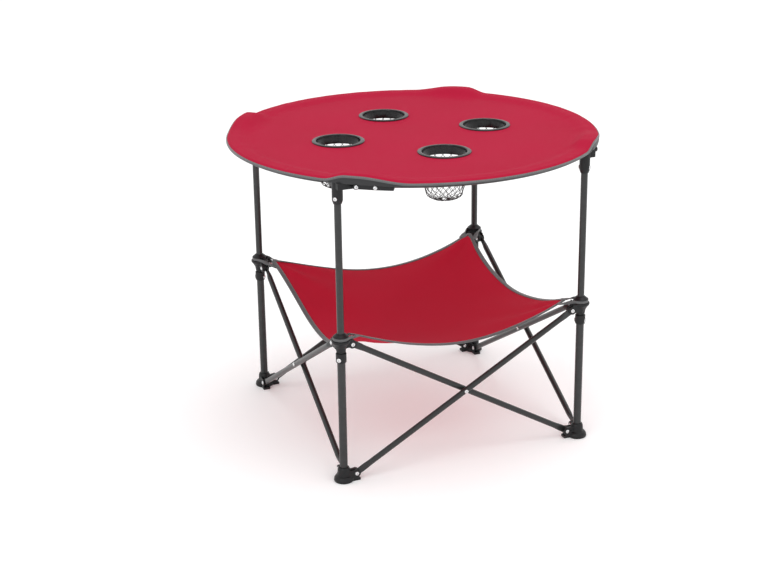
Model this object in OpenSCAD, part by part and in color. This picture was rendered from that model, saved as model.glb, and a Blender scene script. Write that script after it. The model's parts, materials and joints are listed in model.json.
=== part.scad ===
// Folding round camp table: canvas top with four cup holders, canvas shelf, quad scissor frame.
// Origin on the floor under the middle of the table, +Z up, millimetres.
// Corners are numbered 0 to 3 counter-clockwise from above, starting at -X -Y, and are called
// front, right, back and left. Side k runs from corner k to corner k + 1.

/* [Table] */
// Diameter of the round top over its hem
table_d = 711; // [640:1:860]
// Height of the top over its rim
table_h = 584; // [540:1:720]
// Distance from the top's edge to an upright's axis
leg_inset = 11.85; // [11:0.05:14]

/* [Tubes] */
// Diameter of the lower tubes
lower_d = 15; // [12:0.5:18]
// Diameter of the cross tubes
cross_d = 11; // [9:0.5:12]
// Diameter of the rim tubes
rim_d = 10; // [8:0.5:11]
// Wall of every tube
tube_wall = 0.9; // [0.8:0.1:1.2]
// Height of the top of the lower tubes
lower_h = 246; // [200:1:300]
// Length of the upper tube held inside the lower tube
tube_lap = 46; // [30:1:60]

/* [Scissors] */
// Height of the pivots in the feet
foot_pivot_z = 14; // [13:0.5:18]
// Height of the pivots above the top of the lower tubes
hub_pivot_rise = 22; // [20:1:26]
// Distance from an upright's axis to its pivots
pivot_out = 22; // [21:0.5:26]
// Thickness of the flattened tube ends
tongue_t = 3; // [2:0.5:4]
// Radius of the flattened tube ends
tongue_r = 6.5; // [5.5:0.5:7]
// Distance from a side's plane to the middle of its tubes
tube_offset = 6.5; // [6.3:0.1:7.5]
// Diameter of the rivet shanks
rivet_d = 4.4; // [3:0.2:5]
// Diameter of the rivet heads
rivet_head_d = 8.4; // [6:0.2:9]
// Height of the rivet heads
rivet_head_h = 1.6; // [1:0.1:2.5]

/* [Feet and hubs] */
// Diameter of a foot's base
foot_d = 46; // [40:1:56]
// Thickness of a foot's base
foot_base_t = 5; // [3:0.5:6]
// Height of a foot's socket
foot_h = 28; // [24:1:40]
// Wall of the foot's socket
foot_wall = 4; // [2.5:0.5:5]
// Height of the stop collar
collar_h = 19; // [14:1:24]
// Wall of the stop collar around the lower tube
collar_wall = 2.3; // [1.5:0.1:3]
// Height of a hub
hub_h = 35; // [32:1:40]
// Largest diameter of a hub
hub_d = 34; // [28:1:36]
// Width of the groove that holds the shelf's strap
strap_groove = 6; // [5:0.5:8]

/* [Rim] */
// Height of a top bracket's socket
bracket_h = 42; // [30:1:50]
// Wall of a top bracket's socket
bracket_wall = 3.4; // [2:0.1:3.6]
// Length of the arm that carries a rim tube, along the rim
arm_len = 72; // [50:1:90]
// Height of the arm
arm_h = 15; // [13:1:18]
// Width of the arm
arm_w = 14; // [13:0.5:15]
// Length of the nub on the other side of a top bracket
nub_len = 30; // [20:1:36]
// Angle before the next upright at which a rim tube ends
arc_end_gap = 4.5; // [4.5:0.5:8]

/* [Canvas] */
// Thickness of the top's canvas
canvas_t = 1.6; // [1:0.1:2.5]
// Height of the hem at the rim
hem_h = 7; // [5:0.5:7.5]
// Depth of the dish in the middle of the top
dish = 6; // [3:0.5:10]
// Thickness of the shelf's canvas
shelf_t = 2; // [1.5:0.1:3]
// Height that the shelf's edges sag by
edge_sag = 70; // [40:1:80]
// Height that the shelf's middle lies below its edges
middle_sag = 8; // [2:1:20]
// Distance that the middle of each shelf edge pulls in by
edge_pull = 26; // [10:1:40]
// Distance from an upright's axis to the shelf's corner, along each side
shelf_corner_gap = 18; // [16:1:24]

/* [Cup holders] */
// Distance from the table's middle to a cup ring's middle
ring_r = 152; // [140:1:200]
// Diameter of the hole in a cup ring
cup_d = 84; // [70:1:90]
// Width of a cup ring's flange
flange_w = 8; // [6:0.5:10]
// Thickness of a cup ring's flange
flange_t = 2; // [1.5:0.1:3]
// Height of a cup ring's wall
ring_wall_h = 18; // [12:1:22]
// Thickness of a cup ring's wall
ring_wall_t = 1.8; // [1.5:0.1:3]
// Depth of a mesh pocket below the canvas
pocket_depth = 88; // [60:1:120]
// Diameter of a mesh pocket's bottom
pocket_bottom_d = 68; // [50:1:80]
// Thickness of a mesh pocket
pocket_t = 1.2; // [1:0.1:2]

/* [Hidden] */

$fn = 48;

steel = "#3a3c3d";
plastic = "#1b1c1d";
rivet_steel = "#c9cccd";
crimson = "#a81d36";

soft_gap = 0.3;
slide_gap = 0.1;
pin_gap = 0.05;
eps = 0.01;

// Half the distance between neighbouring uprights
half = (table_d / 2 - leg_inset) / sqrt(2);
upper_d = lower_d - 2 * tube_wall - 2 * slide_gap;

hub_pivot_z = lower_h + hub_pivot_rise;
pivot_span = 2 * (half - pivot_out);
pivot_rise = hub_pivot_z - foot_pivot_z;
rest_angle = atan2(pivot_rise, pivot_span);
cross_len = sqrt(pivot_span * pivot_span + pivot_rise * pivot_rise);
tube_start = 2 * tongue_r + 1;
tongue_overlap = 12;
tongue_edge = 0.6;
tongue_near = tube_offset - tongue_t / 2;
tongue_far = tube_offset + tongue_t / 2;
ear_near = tongue_near - soft_gap;
ear_back = 3.5;
ear_margin = 1;
ear_trim = 0.5;
ear_r = tongue_r + ear_margin;

foot_bevel = 2;
foot_taper = 4;
hub_below_pivot = 11;
hub_cap_h = 6;
hub_lip = 2;
hub_band_h = 4;
groove_depth = 4;
hub_z = hub_pivot_z - hub_below_pivot;
hub_top_z = hub_z + hub_h;
groove_top_z = hub_top_z - hub_cap_h;
groove_z = groove_top_z - strap_groove;
groove_r = hub_d / 2 - groove_depth;

collar_over = 9;
collar_z = lower_h + collar_over - collar_h;
collar_r = lower_d / 2 + collar_wall;
collar_rivet_z = collar_z + 7;

hem_z = table_h - hem_h;
hem_gap = 1.2;
shoulder_extra = 0.4;
rim_r = table_d / 2 - canvas_t - hem_gap - arm_w / 2;
canvas_under_z = table_h - canvas_t - shoulder_extra;
arm_top_z = canvas_under_z - soft_gap;
arm_skin = 1;
arm_chamfer = 2.5;
rim_z = arm_top_z - rim_d / 2 - arm_skin;
pivot_below_hem = 5.5;
arm_pivot_z = hem_z - pivot_below_hem;
pivot_angle = asin((half - pivot_out) / rim_r);
// Angle from the arm's pivot to the rim tube's end inside the arm
rim_start = 1.3;
boss_len = 16.5;
boss_r = 5.2;

bracket_gap = 0.5;
bracket_cap = 5.5;
tube_end_gap = 0.5;
bracket_taper_h = 7;
bracket_taper = 2.4;
bracket_top_z = hem_z - bracket_gap;
bracket_z = bracket_top_z - bracket_h;
bracket_r = upper_d / 2 + bracket_wall;
bracket_rivet_z = bracket_z + 11;
// How far the arm's pivot plate stands outside the far end of the rim tube before it
face_out = 4.4;
arm_face = rim_r * cos(45 - arc_end_gap) - rim_d / 2 + face_out;
plate_t = 6.5;
plate_below = 7.5;
plate_back_x = 6;
plate_neck_x = 9;
plate_back = arm_face - plate_t;
arm_back = arm_face + soft_gap;
nub_r = 6.5;
nub_h = 12;
nub_below = 7;
nub_shift = 1.5;

middle_top_z = table_h - dish;
cup_r = cup_d / 2;
wall_r = cup_r + ring_wall_t;
flange_lift = 1.4;
flange_edge = 1;
ring_seat_z = middle_top_z + flange_lift;
flange_top_z = ring_seat_z + flange_t;
ring_bottom_z = flange_top_z - ring_wall_h;

// The top's outline from its middle to its edge
slope_rise = 1;
slope_w = 26;
shoulder_in = 4;
round_w = 3.5;
round_h = 3;
corner_w = 0.7;
corner_h = 0.6;

shelf_z = groove_z + strap_groove / 2;
shelf_half = half - shelf_corner_gap;
shelf_steps = 14;
strap_w = strap_groove - 2 * soft_gap;
strap_t = 1.5;
strap_tab_w = 14;
strap_tab_end = 8;

// Places its children, drawn at the front corner, at corner k.
module corner(k) { rotate([0, 0, 90 * k]) children(); }

// Places its children, drawn on the side that faces -Y, on side k.
module side(k) { rotate([0, 0, 90 * k]) children(); }

// A tube along +Z.
module tube(d, length, wall) {
    difference() {
        cylinder(d = d, h = length);
        translate([0, 0, -1]) cylinder(d = d - 2 * wall, h = length + 2);
    }
}

// A rivet along +Z from one head's seat at 0 to the other's at length.
module rivet(length) {
    cylinder(d = rivet_d, h = length);
    translate([0, 0, length]) cylinder(d1 = rivet_head_d, d2 = 0.7 * rivet_head_d, h = rivet_head_h);
    mirror([0, 0, 1]) cylinder(d1 = rivet_head_d, d2 = 0.7 * rivet_head_d, h = rivet_head_h);
}

// A round hole for a rivet, along the outward direction of the side that faces -Y.
module side_hole(x, z, from, to) {
    translate([x, -from, z]) rotate([90, 0, 0]) cylinder(d = rivet_d + 2 * pin_gap, h = to - from);
}

// A plate on the side that faces -Y, between two distances from the table's middle.
module side_plate(x0, x1, from, to, z0, z1) {
    translate([x0, -to, z0]) cube([x1 - x0, to - from, z1 - z0]);
}

// An ear that reaches from the front corner along +X to its pivot.
module ear(z, from, to) {
    side_plate(-half, -half + pivot_out, from, to, z - ear_r + ear_trim, z + ear_r - ear_trim);
    translate([-half + pivot_out, -from, z]) rotate([90, 0, 0]) cylinder(r = ear_r, h = to - from);
}

// The front corner's ears: one along +X beside a tube at the distance sign_x * tube_offset outwards,
// one along +Y beside a tube at the opposite distance.
module ears(z, sign_x) {
    outer_from = half - ear_back;
    outer_to = half + ear_near;
    inner_from = half - ear_near;
    inner_to = half + ear_back;
    ear(z, sign_x > 0 ? outer_from : inner_from, sign_x > 0 ? outer_to : inner_to);
    rotate([0, 0, -90]) mirror([1, 0, 0])
        ear(z, sign_x > 0 ? inner_from : outer_from, sign_x > 0 ? inner_to : outer_to);
}

module ear_holes(z) {
    side_hole(-half + pivot_out, z, half - 2 * tube_offset, half + 2 * tube_offset);
    rotate([0, 0, -90]) mirror([1, 0, 0])
        side_hole(-half + pivot_out, z, half - 2 * tube_offset, half + 2 * tube_offset);
}

// The rivet through an ear along +X and the tube end beside it.
module ear_rivet(z, sign) {
    from = sign > 0 ? half - ear_back - pin_gap : half - tongue_far - pin_gap;
    to = sign > 0 ? half + tongue_far + pin_gap : half + ear_back + pin_gap;
    translate([-half + pivot_out, -from, z]) rotate([90, 0, 0]) rivet(to - from);
}

module ear_rivets(z, sign_x) {
    ear_rivet(z, sign_x);
    rotate([0, 0, -90]) mirror([1, 0, 0]) ear_rivet(z, -sign_x);
}

module foot(k) {
    color(plastic) corner(k) difference() {
        union() {
            translate([-half, -half, 0]) cylinder(d = foot_d, h = foot_base_t - foot_bevel);
            translate([-half, -half, foot_base_t - foot_bevel])
                cylinder(d1 = foot_d, d2 = foot_d - foot_taper, h = foot_bevel);
            translate([-half, -half, 0]) cylinder(r = lower_d / 2 + foot_wall, h = foot_h);
            ears(foot_pivot_z, 1);
        }
        translate([-half, -half, foot_base_t]) cylinder(d = lower_d + 2 * pin_gap, h = foot_h);
        ear_holes(foot_pivot_z);
    }
}

module lower_tube(k) {
    color(steel) corner(k) difference() {
        translate([-half, -half, foot_base_t]) tube(lower_d, lower_h - foot_base_t, tube_wall);
        upright_hole(collar_rivet_z);
    }
}

module upper_tube(k) {
    bottom = lower_h - tube_lap;
    color(steel) corner(k) difference() {
        translate([-half, -half, bottom])
            tube(upper_d, bracket_top_z - bracket_cap - tube_end_gap - bottom, tube_wall);
        upright_hole(collar_rivet_z);
        upright_hole(bracket_rivet_z);
    }
}

// Places its children along the outward direction at the front corner, at height z.
module outward(z) { translate([-half, -half, z]) rotate([0, 0, 45]) rotate([0, -90, 0]) children(); }

// A rivet's hole right through an upright at height z.
module upright_hole(z) {
    outward(z) translate([0, 0, -2 * lower_d])
        cylinder(d = rivet_d + 2 * pin_gap, h = 4 * lower_d);
}

module stop_collar(k) {
    color(plastic) corner(k) difference() {
        translate([-half, -half, collar_z]) cylinder(r = collar_r, h = collar_h);
        translate([-half, -half, collar_z - 1])
            cylinder(d = lower_d + 2 * pin_gap, h = lower_h - collar_z + 1 + pin_gap);
        translate([-half, -half, collar_z]) cylinder(d = upper_d + 2 * pin_gap, h = collar_h + 1);
        upright_hole(collar_rivet_z);
    }
}

module upright_rivets(k) {
    arm_outer = arm_back + boss_len;
    color(rivet_steel) corner(k) {
        outward(collar_rivet_z) translate([0, 0, -collar_r - pin_gap])
            rivet(2 * (collar_r + pin_gap));
        outward(bracket_rivet_z) translate([0, 0, -bracket_r - pin_gap])
            rivet(2 * (bracket_r + pin_gap));
        translate([-half + pivot_out, -(plate_back - pin_gap), arm_pivot_z]) rotate([90, 0, 0])
            rivet(arm_outer - plate_back + 2 * pin_gap);
        ear_rivets(foot_pivot_z, 1);
    }
}

// Socket on the upright's top, with a plate for the rim arm's pivot on one side and a nub on the other.
module top_bracket(k) {
    plate_z = arm_pivot_z - plate_below;
    plate_top_z = arm_pivot_z + boss_r;
    nub_z = arm_pivot_z - nub_below;
    color(plastic) corner(k) difference() {
        union() {
            translate([-half, -half, bracket_z])
                cylinder(r1 = bracket_r - bracket_taper, r2 = bracket_r, h = bracket_taper_h);
            translate([-half, -half, bracket_z + bracket_taper_h - eps])
                cylinder(r = bracket_r, h = bracket_h - bracket_taper_h + eps);
            side_plate(-half - plate_back_x, -half + plate_neck_x, half, arm_face,
                       plate_z, plate_top_z);
            side_plate(-half - plate_back_x, -half + pivot_out, plate_back, arm_face,
                       plate_z, plate_top_z);
            translate([-half + pivot_out, -plate_back, arm_pivot_z]) rotate([90, 0, 0])
                cylinder(r = boss_r, h = plate_t);
            translate([-half - nub_shift - nub_r, -half, nub_z])
                cube([2 * nub_r, nub_len - nub_r, nub_h]);
            translate([-half - nub_shift, -half + nub_len - nub_r, nub_z])
                cylinder(r = nub_r, h = nub_h);
        }
        translate([-half, -half, bracket_z - 1])
            cylinder(d = upper_d + 2 * pin_gap, h = bracket_h - bracket_cap + 1);
        upright_hole(bracket_rivet_z);
        side_hole(-half + pivot_out, arm_pivot_z, plate_back - 1, arm_face + 1);
    }
}

module hub(k) {
    flare_z = groove_z - hub_band_h;
    neck_r = upper_d / 2 + hub_lip;
    color(plastic) corner(k) difference() {
        union() {
            translate([-half, -half, hub_z])
                cylinder(r1 = neck_r, r2 = hub_d / 2 - hub_lip, h = flare_z - hub_z);
            translate([-half, -half, flare_z - eps]) cylinder(d = hub_d, h = groove_z - flare_z + eps);
            translate([-half, -half, groove_z - eps]) cylinder(r = groove_r, h = strap_groove + 2 * eps);
            translate([-half, -half, groove_top_z])
                cylinder(r1 = groove_r + hub_lip, r2 = neck_r, h = hub_cap_h);
            ears(hub_pivot_z, -1);
        }
        translate([-half, -half, hub_z - 1]) cylinder(d = upper_d + 2 * slide_gap, h = hub_h + 2);
        ear_holes(hub_pivot_z);
    }
}

module hub_rivets(k) { color(rivet_steel) corner(k) ear_rivets(hub_pivot_z, -1); }

// A cross tube along +X from its foot pivot at the origin to its hub pivot.
module cross_bar() {
    difference() {
        union() {
            translate([tube_start, 0, 0]) rotate([0, 90, 0])
                tube(cross_d, cross_len - 2 * tube_start, tube_wall);
            tongue();
            translate([cross_len, 0, 0]) mirror([1, 0, 0]) tongue();
        }
        for (x = [0, cross_len / 2, cross_len])
            translate([x, 2 * cross_d, 0]) rotate([90, 0, 0])
                cylinder(d = rivet_d + 2 * pin_gap, h = 4 * cross_d);
    }
}

// The flattened end of a cross tube, with its pivot at the origin.
module tongue() {
    translate([0, tongue_t / 2, 0]) rotate([90, 0, 0]) cylinder(r = tongue_r, h = tongue_t);
    translate([0, -tongue_t / 2, -cross_d / 2 + tongue_edge])
        cube([tube_start + tongue_overlap, tongue_t, cross_d - 2 * tongue_edge]);
}

module outer_cross_tube(k) {
    color(steel) side(k) translate([-half + pivot_out, -half - tube_offset, foot_pivot_z])
        rotate([0, -rest_angle, 0]) cross_bar();
}

module inner_cross_tube(k) {
    color(steel) side(k) mirror([1, 0, 0])
        translate([-half + pivot_out, -half + tube_offset, foot_pivot_z])
        rotate([0, -rest_angle, 0]) cross_bar();
}

module crossing_rivet(k) {
    reach = tube_offset + cross_d / 2 + pin_gap;
    color(rivet_steel) side(k)
        translate([0, -half + reach, (foot_pivot_z + hub_pivot_z) / 2]) rotate([90, 0, 0])
        rivet(2 * reach);
}

// Sweeps its 2-D children round the rim on the side that faces -Y, between two angles from -Y.
module rim_sweep(from, to) {
    rotate([0, 0, from - 90]) rotate_extrude(angle = to - from, $fn = 144)
        translate([rim_r, 0]) children();
}

module rim_tube(k) {
    color(steel) side(k) translate([0, 0, rim_z])
        rim_sweep(rim_start - pivot_angle, 45 - arc_end_gap) difference() {
            circle(d = rim_d);
            circle(d = rim_d - 2 * tube_wall);
        }
}

// The arm's cross-section, with its top edges taken off under the canvas.
module arm_profile() {
    polygon([
        [-arm_w / 2, 0],
        [arm_w / 2, 0],
        [arm_w / 2, arm_h - arm_chamfer],
        [arm_w / 2 - arm_chamfer, arm_h],
        [-arm_w / 2 + arm_chamfer, arm_h],
        [-arm_w / 2, arm_h - arm_chamfer]
    ]);
}

// The arm that carries a rim tube and turns on the top bracket's plate.
module rim_arm(k) {
    arm_angle = arm_len / rim_r * 180 / PI;
    color(plastic) side(k) difference() {
        union() {
            translate([0, 0, arm_top_z - arm_h]) rim_sweep(-pivot_angle, arm_angle - pivot_angle)
                arm_profile();
            translate([-half + pivot_out, -arm_back, arm_pivot_z]) rotate([90, 0, 0])
                cylinder(r = boss_r, h = boss_len);
        }
        side_plate(-half, 0, 0, arm_back, 0, table_h);
        side_hole(-half + pivot_out, arm_pivot_z, arm_back - 1, arm_back + boss_len + 1);
        translate([0, 0, rim_z]) rim_sweep(rim_start - pivot_angle, arm_angle - pivot_angle + 2)
            circle(d = rim_d + 2 * pin_gap);
    }
}

// A cup ring: a flange over the canvas and a wall down through it.
module cup_ring(k) {
    color(plastic) side(k) translate([0, -ring_r, 0]) rotate_extrude() polygon([
        [cup_r, ring_bottom_z],
        [wall_r, ring_bottom_z],
        [wall_r, ring_seat_z],
        [cup_r + flange_w, ring_seat_z],
        [cup_r + flange_w, flange_top_z - flange_edge],
        [cup_r + flange_w - flange_edge, flange_top_z],
        [cup_r + flange_edge, flange_top_z],
        [cup_r, flange_top_z - flange_edge]
    ]);
}

// A mesh pocket that hangs under the canvas round a cup ring.
module pocket() {
    top_r = wall_r + soft_gap;
    straight_z = ring_bottom_z - 2;
    top_z = middle_top_z - canvas_t;
    bottom_z = top_z - pocket_depth;
    bottom_r = pocket_bottom_d / 2;
    translate([0, -ring_r, 0]) rotate_extrude() polygon([
        [0, bottom_z],
        [bottom_r, bottom_z],
        [top_r + pocket_t, straight_z],
        [top_r + pocket_t, top_z],
        [top_r, top_z],
        [top_r, straight_z],
        [bottom_r - pocket_t, bottom_z + pocket_t],
        [0, bottom_z + pocket_t]
    ]);
}

module mesh_pockets() { color(plastic) for (k = [0 : 3]) side(k) pocket(); }

// The round canvas with its hem over the rim and its four holes for the cup rings.
module canvas_top() {
    outer = table_d / 2;
    shoulder = rim_r - arm_w / 2 - shoulder_in;
    foot_r = shoulder - slope_w;
    foot_z = middle_top_z + slope_rise;
    color(crimson) difference() {
        rotate_extrude($fn = 144) polygon([
            [0, middle_top_z],
            [foot_r, foot_z],
            [shoulder, table_h],
            [outer - round_w, table_h],
            [outer, table_h - round_h],
            [outer, hem_z],
            [outer - canvas_t, hem_z],
            [outer - canvas_t, table_h - round_h - corner_h],
            [outer - round_w - corner_w, canvas_under_z],
            [shoulder + 1, canvas_under_z],
            [foot_r, foot_z - canvas_t],
            [0, middle_top_z - canvas_t]
        ]);
        for (k = [0 : 3]) side(k) translate([0, -ring_r, 0])
            cylinder(r = wall_r + soft_gap, h = table_h + 1);
    }
}

// Height of the shelf's underside at the shares s and t of its half width.
function shelf_height(s, t) =
    shelf_z - shelf_t / 2 - edge_sag * (1 - s * s * t * t)
    - middle_sag * (1 - s * s) * (1 - t * t);

function shelf_point(s, t, lift) = [
    s * (shelf_half - edge_pull * (1 - t * t)),
    t * (shelf_half - edge_pull * (1 - s * s)),
    shelf_height(s, t) + lift
];

function quad(a, b, c, d) = [[a, b, c], [a, c, d]];

// The shelf's sheet, sagging between its four corners.
module shelf_sheet() {
    n = shelf_steps;
    layer = (n + 1) * (n + 1);
    points = [
        for (lift = [0, shelf_t], i = [0 : n], j = [0 : n])
            shelf_point(2 * i / n - 1, 2 * j / n - 1, lift)
    ];
    faces = concat(
        [for (i = [0 : n - 1], j = [0 : n - 1]) let (p = i * (n + 1) + j)
            each quad(p, p + n + 1, p + n + 2, p + 1)],
        [for (i = [0 : n - 1], j = [0 : n - 1]) let (p = layer + i * (n + 1) + j)
            each quad(p, p + 1, p + n + 2, p + n + 1)],
        [for (i = [0 : n - 1]) let (p = i * (n + 1))
            each quad(p, p + layer, p + n + 1 + layer, p + n + 1)],
        [for (i = [0 : n - 1]) let (p = i * (n + 1) + n)
            each quad(p, p + n + 1, p + n + 1 + layer, p + layer)],
        [for (j = [0 : n - 1]) each quad(j, j + 1, j + 1 + layer, j + layer)],
        [for (j = [0 : n - 1]) let (p = n * (n + 1) + j)
            each quad(p, p + layer, p + 1 + layer, p + 1)]
    );
    polyhedron(points = points, faces = faces, convexity = 4);
}

// The shelf with the strap loops that hang it from the hubs' grooves.
module canvas_shelf() {
    strap_r = groove_r + soft_gap;
    tab_len = shelf_corner_gap * sqrt(2) + strap_tab_end;
    color(crimson) resize([0, 0, 0]) union() {
        shelf_sheet();
        for (k = [0 : 3]) corner(k) translate([-half, -half, shelf_z - strap_w / 2]) difference() {
            union() {
                cylinder(r = strap_r + strap_t, h = strap_w);
                rotate([0, 0, 45]) translate([0, -strap_tab_w / 2, 0])
                    cube([tab_len, strap_tab_w, strap_w]);
            }
            translate([0, 0, -1]) cylinder(r = strap_r, h = strap_w + 2);
        }
    }
}

foot(0);  // foot_front
foot(1);  // foot_right
foot(2);  // foot_back
foot(3);  // foot_left
lower_tube(0);  // lower_tube_front
lower_tube(1);  // lower_tube_right
lower_tube(2);  // lower_tube_back
lower_tube(3);  // lower_tube_left
upper_tube(0);  // upper_tube_front
upper_tube(1);  // upper_tube_right
upper_tube(2);  // upper_tube_back
upper_tube(3);  // upper_tube_left
stop_collar(0);  // stop_collar_front
stop_collar(1);  // stop_collar_right
stop_collar(2);  // stop_collar_back
stop_collar(3);  // stop_collar_left
top_bracket(0);  // top_bracket_front
top_bracket(1);  // top_bracket_right
top_bracket(2);  // top_bracket_back
top_bracket(3);  // top_bracket_left
upright_rivets(0);  // upright_rivets_front
upright_rivets(1);  // upright_rivets_right
upright_rivets(2);  // upright_rivets_back
upright_rivets(3);  // upright_rivets_left
hub(0);  // hub_front
hub(1);  // hub_right
hub(2);  // hub_back
hub(3);  // hub_left
hub_rivets(0);  // hub_rivets_front
hub_rivets(1);  // hub_rivets_right
hub_rivets(2);  // hub_rivets_back
hub_rivets(3);  // hub_rivets_left
outer_cross_tube(0);  // outer_cross_tube_0
outer_cross_tube(1);  // outer_cross_tube_1
outer_cross_tube(2);  // outer_cross_tube_2
outer_cross_tube(3);  // outer_cross_tube_3
inner_cross_tube(0);  // inner_cross_tube_0
inner_cross_tube(1);  // inner_cross_tube_1
inner_cross_tube(2);  // inner_cross_tube_2
inner_cross_tube(3);  // inner_cross_tube_3
crossing_rivet(0);  // crossing_rivet_0
crossing_rivet(1);  // crossing_rivet_1
crossing_rivet(2);  // crossing_rivet_2
crossing_rivet(3);  // crossing_rivet_3
rim_tube(0);  // rim_tube_0
rim_tube(1);  // rim_tube_1
rim_tube(2);  // rim_tube_2
rim_tube(3);  // rim_tube_3
rim_arm(0);  // rim_arm_0
rim_arm(1);  // rim_arm_1
rim_arm(2);  // rim_arm_2
rim_arm(3);  // rim_arm_3
cup_ring(0);  // cup_ring_0
cup_ring(1);  // cup_ring_1
cup_ring(2);  // cup_ring_2
cup_ring(3);  // cup_ring_3
canvas_top();
mesh_pockets();
canvas_shelf();
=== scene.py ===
# %% [markdown]
# # A round folding camp table
# The table is a steel scissor frame with cloth hung on it: a round canvas top with four cup
# holders and a sagging canvas shelf. The frame comes ready made and fixed. This lesson dresses it:
# moulded plastic, pressed tubes, rivets, cloth, binding, webbing and net, and a finish for each.

# %% Load the frame
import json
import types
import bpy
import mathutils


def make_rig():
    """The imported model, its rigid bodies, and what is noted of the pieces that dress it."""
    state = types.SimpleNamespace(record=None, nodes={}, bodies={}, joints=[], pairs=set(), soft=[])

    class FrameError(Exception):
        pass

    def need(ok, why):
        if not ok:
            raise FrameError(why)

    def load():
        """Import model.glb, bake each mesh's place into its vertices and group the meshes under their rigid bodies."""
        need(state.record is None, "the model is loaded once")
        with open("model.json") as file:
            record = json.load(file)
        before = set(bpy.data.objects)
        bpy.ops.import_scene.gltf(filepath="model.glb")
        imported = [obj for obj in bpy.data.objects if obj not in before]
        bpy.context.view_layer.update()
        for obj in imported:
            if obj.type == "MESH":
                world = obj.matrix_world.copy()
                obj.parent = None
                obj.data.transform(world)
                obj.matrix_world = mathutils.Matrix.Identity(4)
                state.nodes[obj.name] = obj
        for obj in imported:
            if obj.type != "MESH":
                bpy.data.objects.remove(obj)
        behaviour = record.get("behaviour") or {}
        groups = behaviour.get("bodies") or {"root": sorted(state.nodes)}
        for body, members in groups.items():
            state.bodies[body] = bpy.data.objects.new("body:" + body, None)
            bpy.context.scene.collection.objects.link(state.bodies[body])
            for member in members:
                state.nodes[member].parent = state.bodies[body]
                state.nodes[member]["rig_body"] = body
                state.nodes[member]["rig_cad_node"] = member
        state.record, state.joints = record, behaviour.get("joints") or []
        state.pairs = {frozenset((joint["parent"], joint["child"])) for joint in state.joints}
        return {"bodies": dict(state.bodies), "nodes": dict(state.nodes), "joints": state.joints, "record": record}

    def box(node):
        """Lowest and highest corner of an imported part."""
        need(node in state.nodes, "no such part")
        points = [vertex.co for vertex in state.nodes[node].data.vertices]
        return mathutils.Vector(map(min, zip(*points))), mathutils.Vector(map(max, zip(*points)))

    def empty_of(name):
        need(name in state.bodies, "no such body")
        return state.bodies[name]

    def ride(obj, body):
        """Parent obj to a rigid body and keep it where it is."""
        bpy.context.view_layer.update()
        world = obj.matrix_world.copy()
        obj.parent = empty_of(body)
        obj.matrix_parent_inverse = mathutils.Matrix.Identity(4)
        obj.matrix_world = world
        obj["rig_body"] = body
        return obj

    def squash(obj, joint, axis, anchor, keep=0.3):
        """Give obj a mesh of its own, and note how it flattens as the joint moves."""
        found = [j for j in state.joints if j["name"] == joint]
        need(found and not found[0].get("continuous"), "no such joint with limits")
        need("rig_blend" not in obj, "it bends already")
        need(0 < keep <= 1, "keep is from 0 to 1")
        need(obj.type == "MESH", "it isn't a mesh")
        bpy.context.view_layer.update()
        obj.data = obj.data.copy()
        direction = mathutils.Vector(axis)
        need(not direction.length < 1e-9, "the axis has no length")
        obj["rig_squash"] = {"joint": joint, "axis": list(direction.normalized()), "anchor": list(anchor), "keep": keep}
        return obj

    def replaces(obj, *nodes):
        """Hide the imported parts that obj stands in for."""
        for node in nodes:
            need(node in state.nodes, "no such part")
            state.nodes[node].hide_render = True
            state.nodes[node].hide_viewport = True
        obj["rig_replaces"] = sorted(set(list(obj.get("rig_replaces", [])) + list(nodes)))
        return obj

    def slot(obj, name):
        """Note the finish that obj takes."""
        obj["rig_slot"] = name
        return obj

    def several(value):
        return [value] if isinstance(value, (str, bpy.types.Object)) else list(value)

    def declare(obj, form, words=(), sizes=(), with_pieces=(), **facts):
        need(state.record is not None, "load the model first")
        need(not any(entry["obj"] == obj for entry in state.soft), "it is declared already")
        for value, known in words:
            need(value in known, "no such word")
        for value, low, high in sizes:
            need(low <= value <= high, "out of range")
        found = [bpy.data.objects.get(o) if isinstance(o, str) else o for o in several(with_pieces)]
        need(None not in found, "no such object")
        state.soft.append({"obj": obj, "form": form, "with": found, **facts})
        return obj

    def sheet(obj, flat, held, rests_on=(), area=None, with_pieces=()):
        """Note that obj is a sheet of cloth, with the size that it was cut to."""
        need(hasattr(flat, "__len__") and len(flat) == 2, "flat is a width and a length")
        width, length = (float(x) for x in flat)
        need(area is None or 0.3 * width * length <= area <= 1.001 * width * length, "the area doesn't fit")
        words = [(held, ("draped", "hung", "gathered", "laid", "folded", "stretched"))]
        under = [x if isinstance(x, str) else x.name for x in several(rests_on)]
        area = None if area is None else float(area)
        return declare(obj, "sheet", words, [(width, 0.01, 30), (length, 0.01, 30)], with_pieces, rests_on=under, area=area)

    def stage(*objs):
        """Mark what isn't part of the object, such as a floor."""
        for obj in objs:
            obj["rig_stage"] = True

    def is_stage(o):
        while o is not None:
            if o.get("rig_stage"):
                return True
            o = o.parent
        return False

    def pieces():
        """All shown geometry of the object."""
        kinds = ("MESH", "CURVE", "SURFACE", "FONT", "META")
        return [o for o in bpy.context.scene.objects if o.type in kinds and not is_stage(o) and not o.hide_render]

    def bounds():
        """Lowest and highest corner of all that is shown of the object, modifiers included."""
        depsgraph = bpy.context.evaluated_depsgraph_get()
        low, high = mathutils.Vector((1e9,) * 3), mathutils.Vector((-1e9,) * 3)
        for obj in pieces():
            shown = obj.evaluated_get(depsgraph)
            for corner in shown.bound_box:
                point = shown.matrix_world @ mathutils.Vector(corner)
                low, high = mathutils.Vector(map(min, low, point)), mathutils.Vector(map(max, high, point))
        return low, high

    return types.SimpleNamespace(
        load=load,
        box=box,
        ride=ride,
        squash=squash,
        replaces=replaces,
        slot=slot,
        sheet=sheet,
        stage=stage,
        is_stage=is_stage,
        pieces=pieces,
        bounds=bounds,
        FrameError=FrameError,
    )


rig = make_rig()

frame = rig.load()
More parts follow.
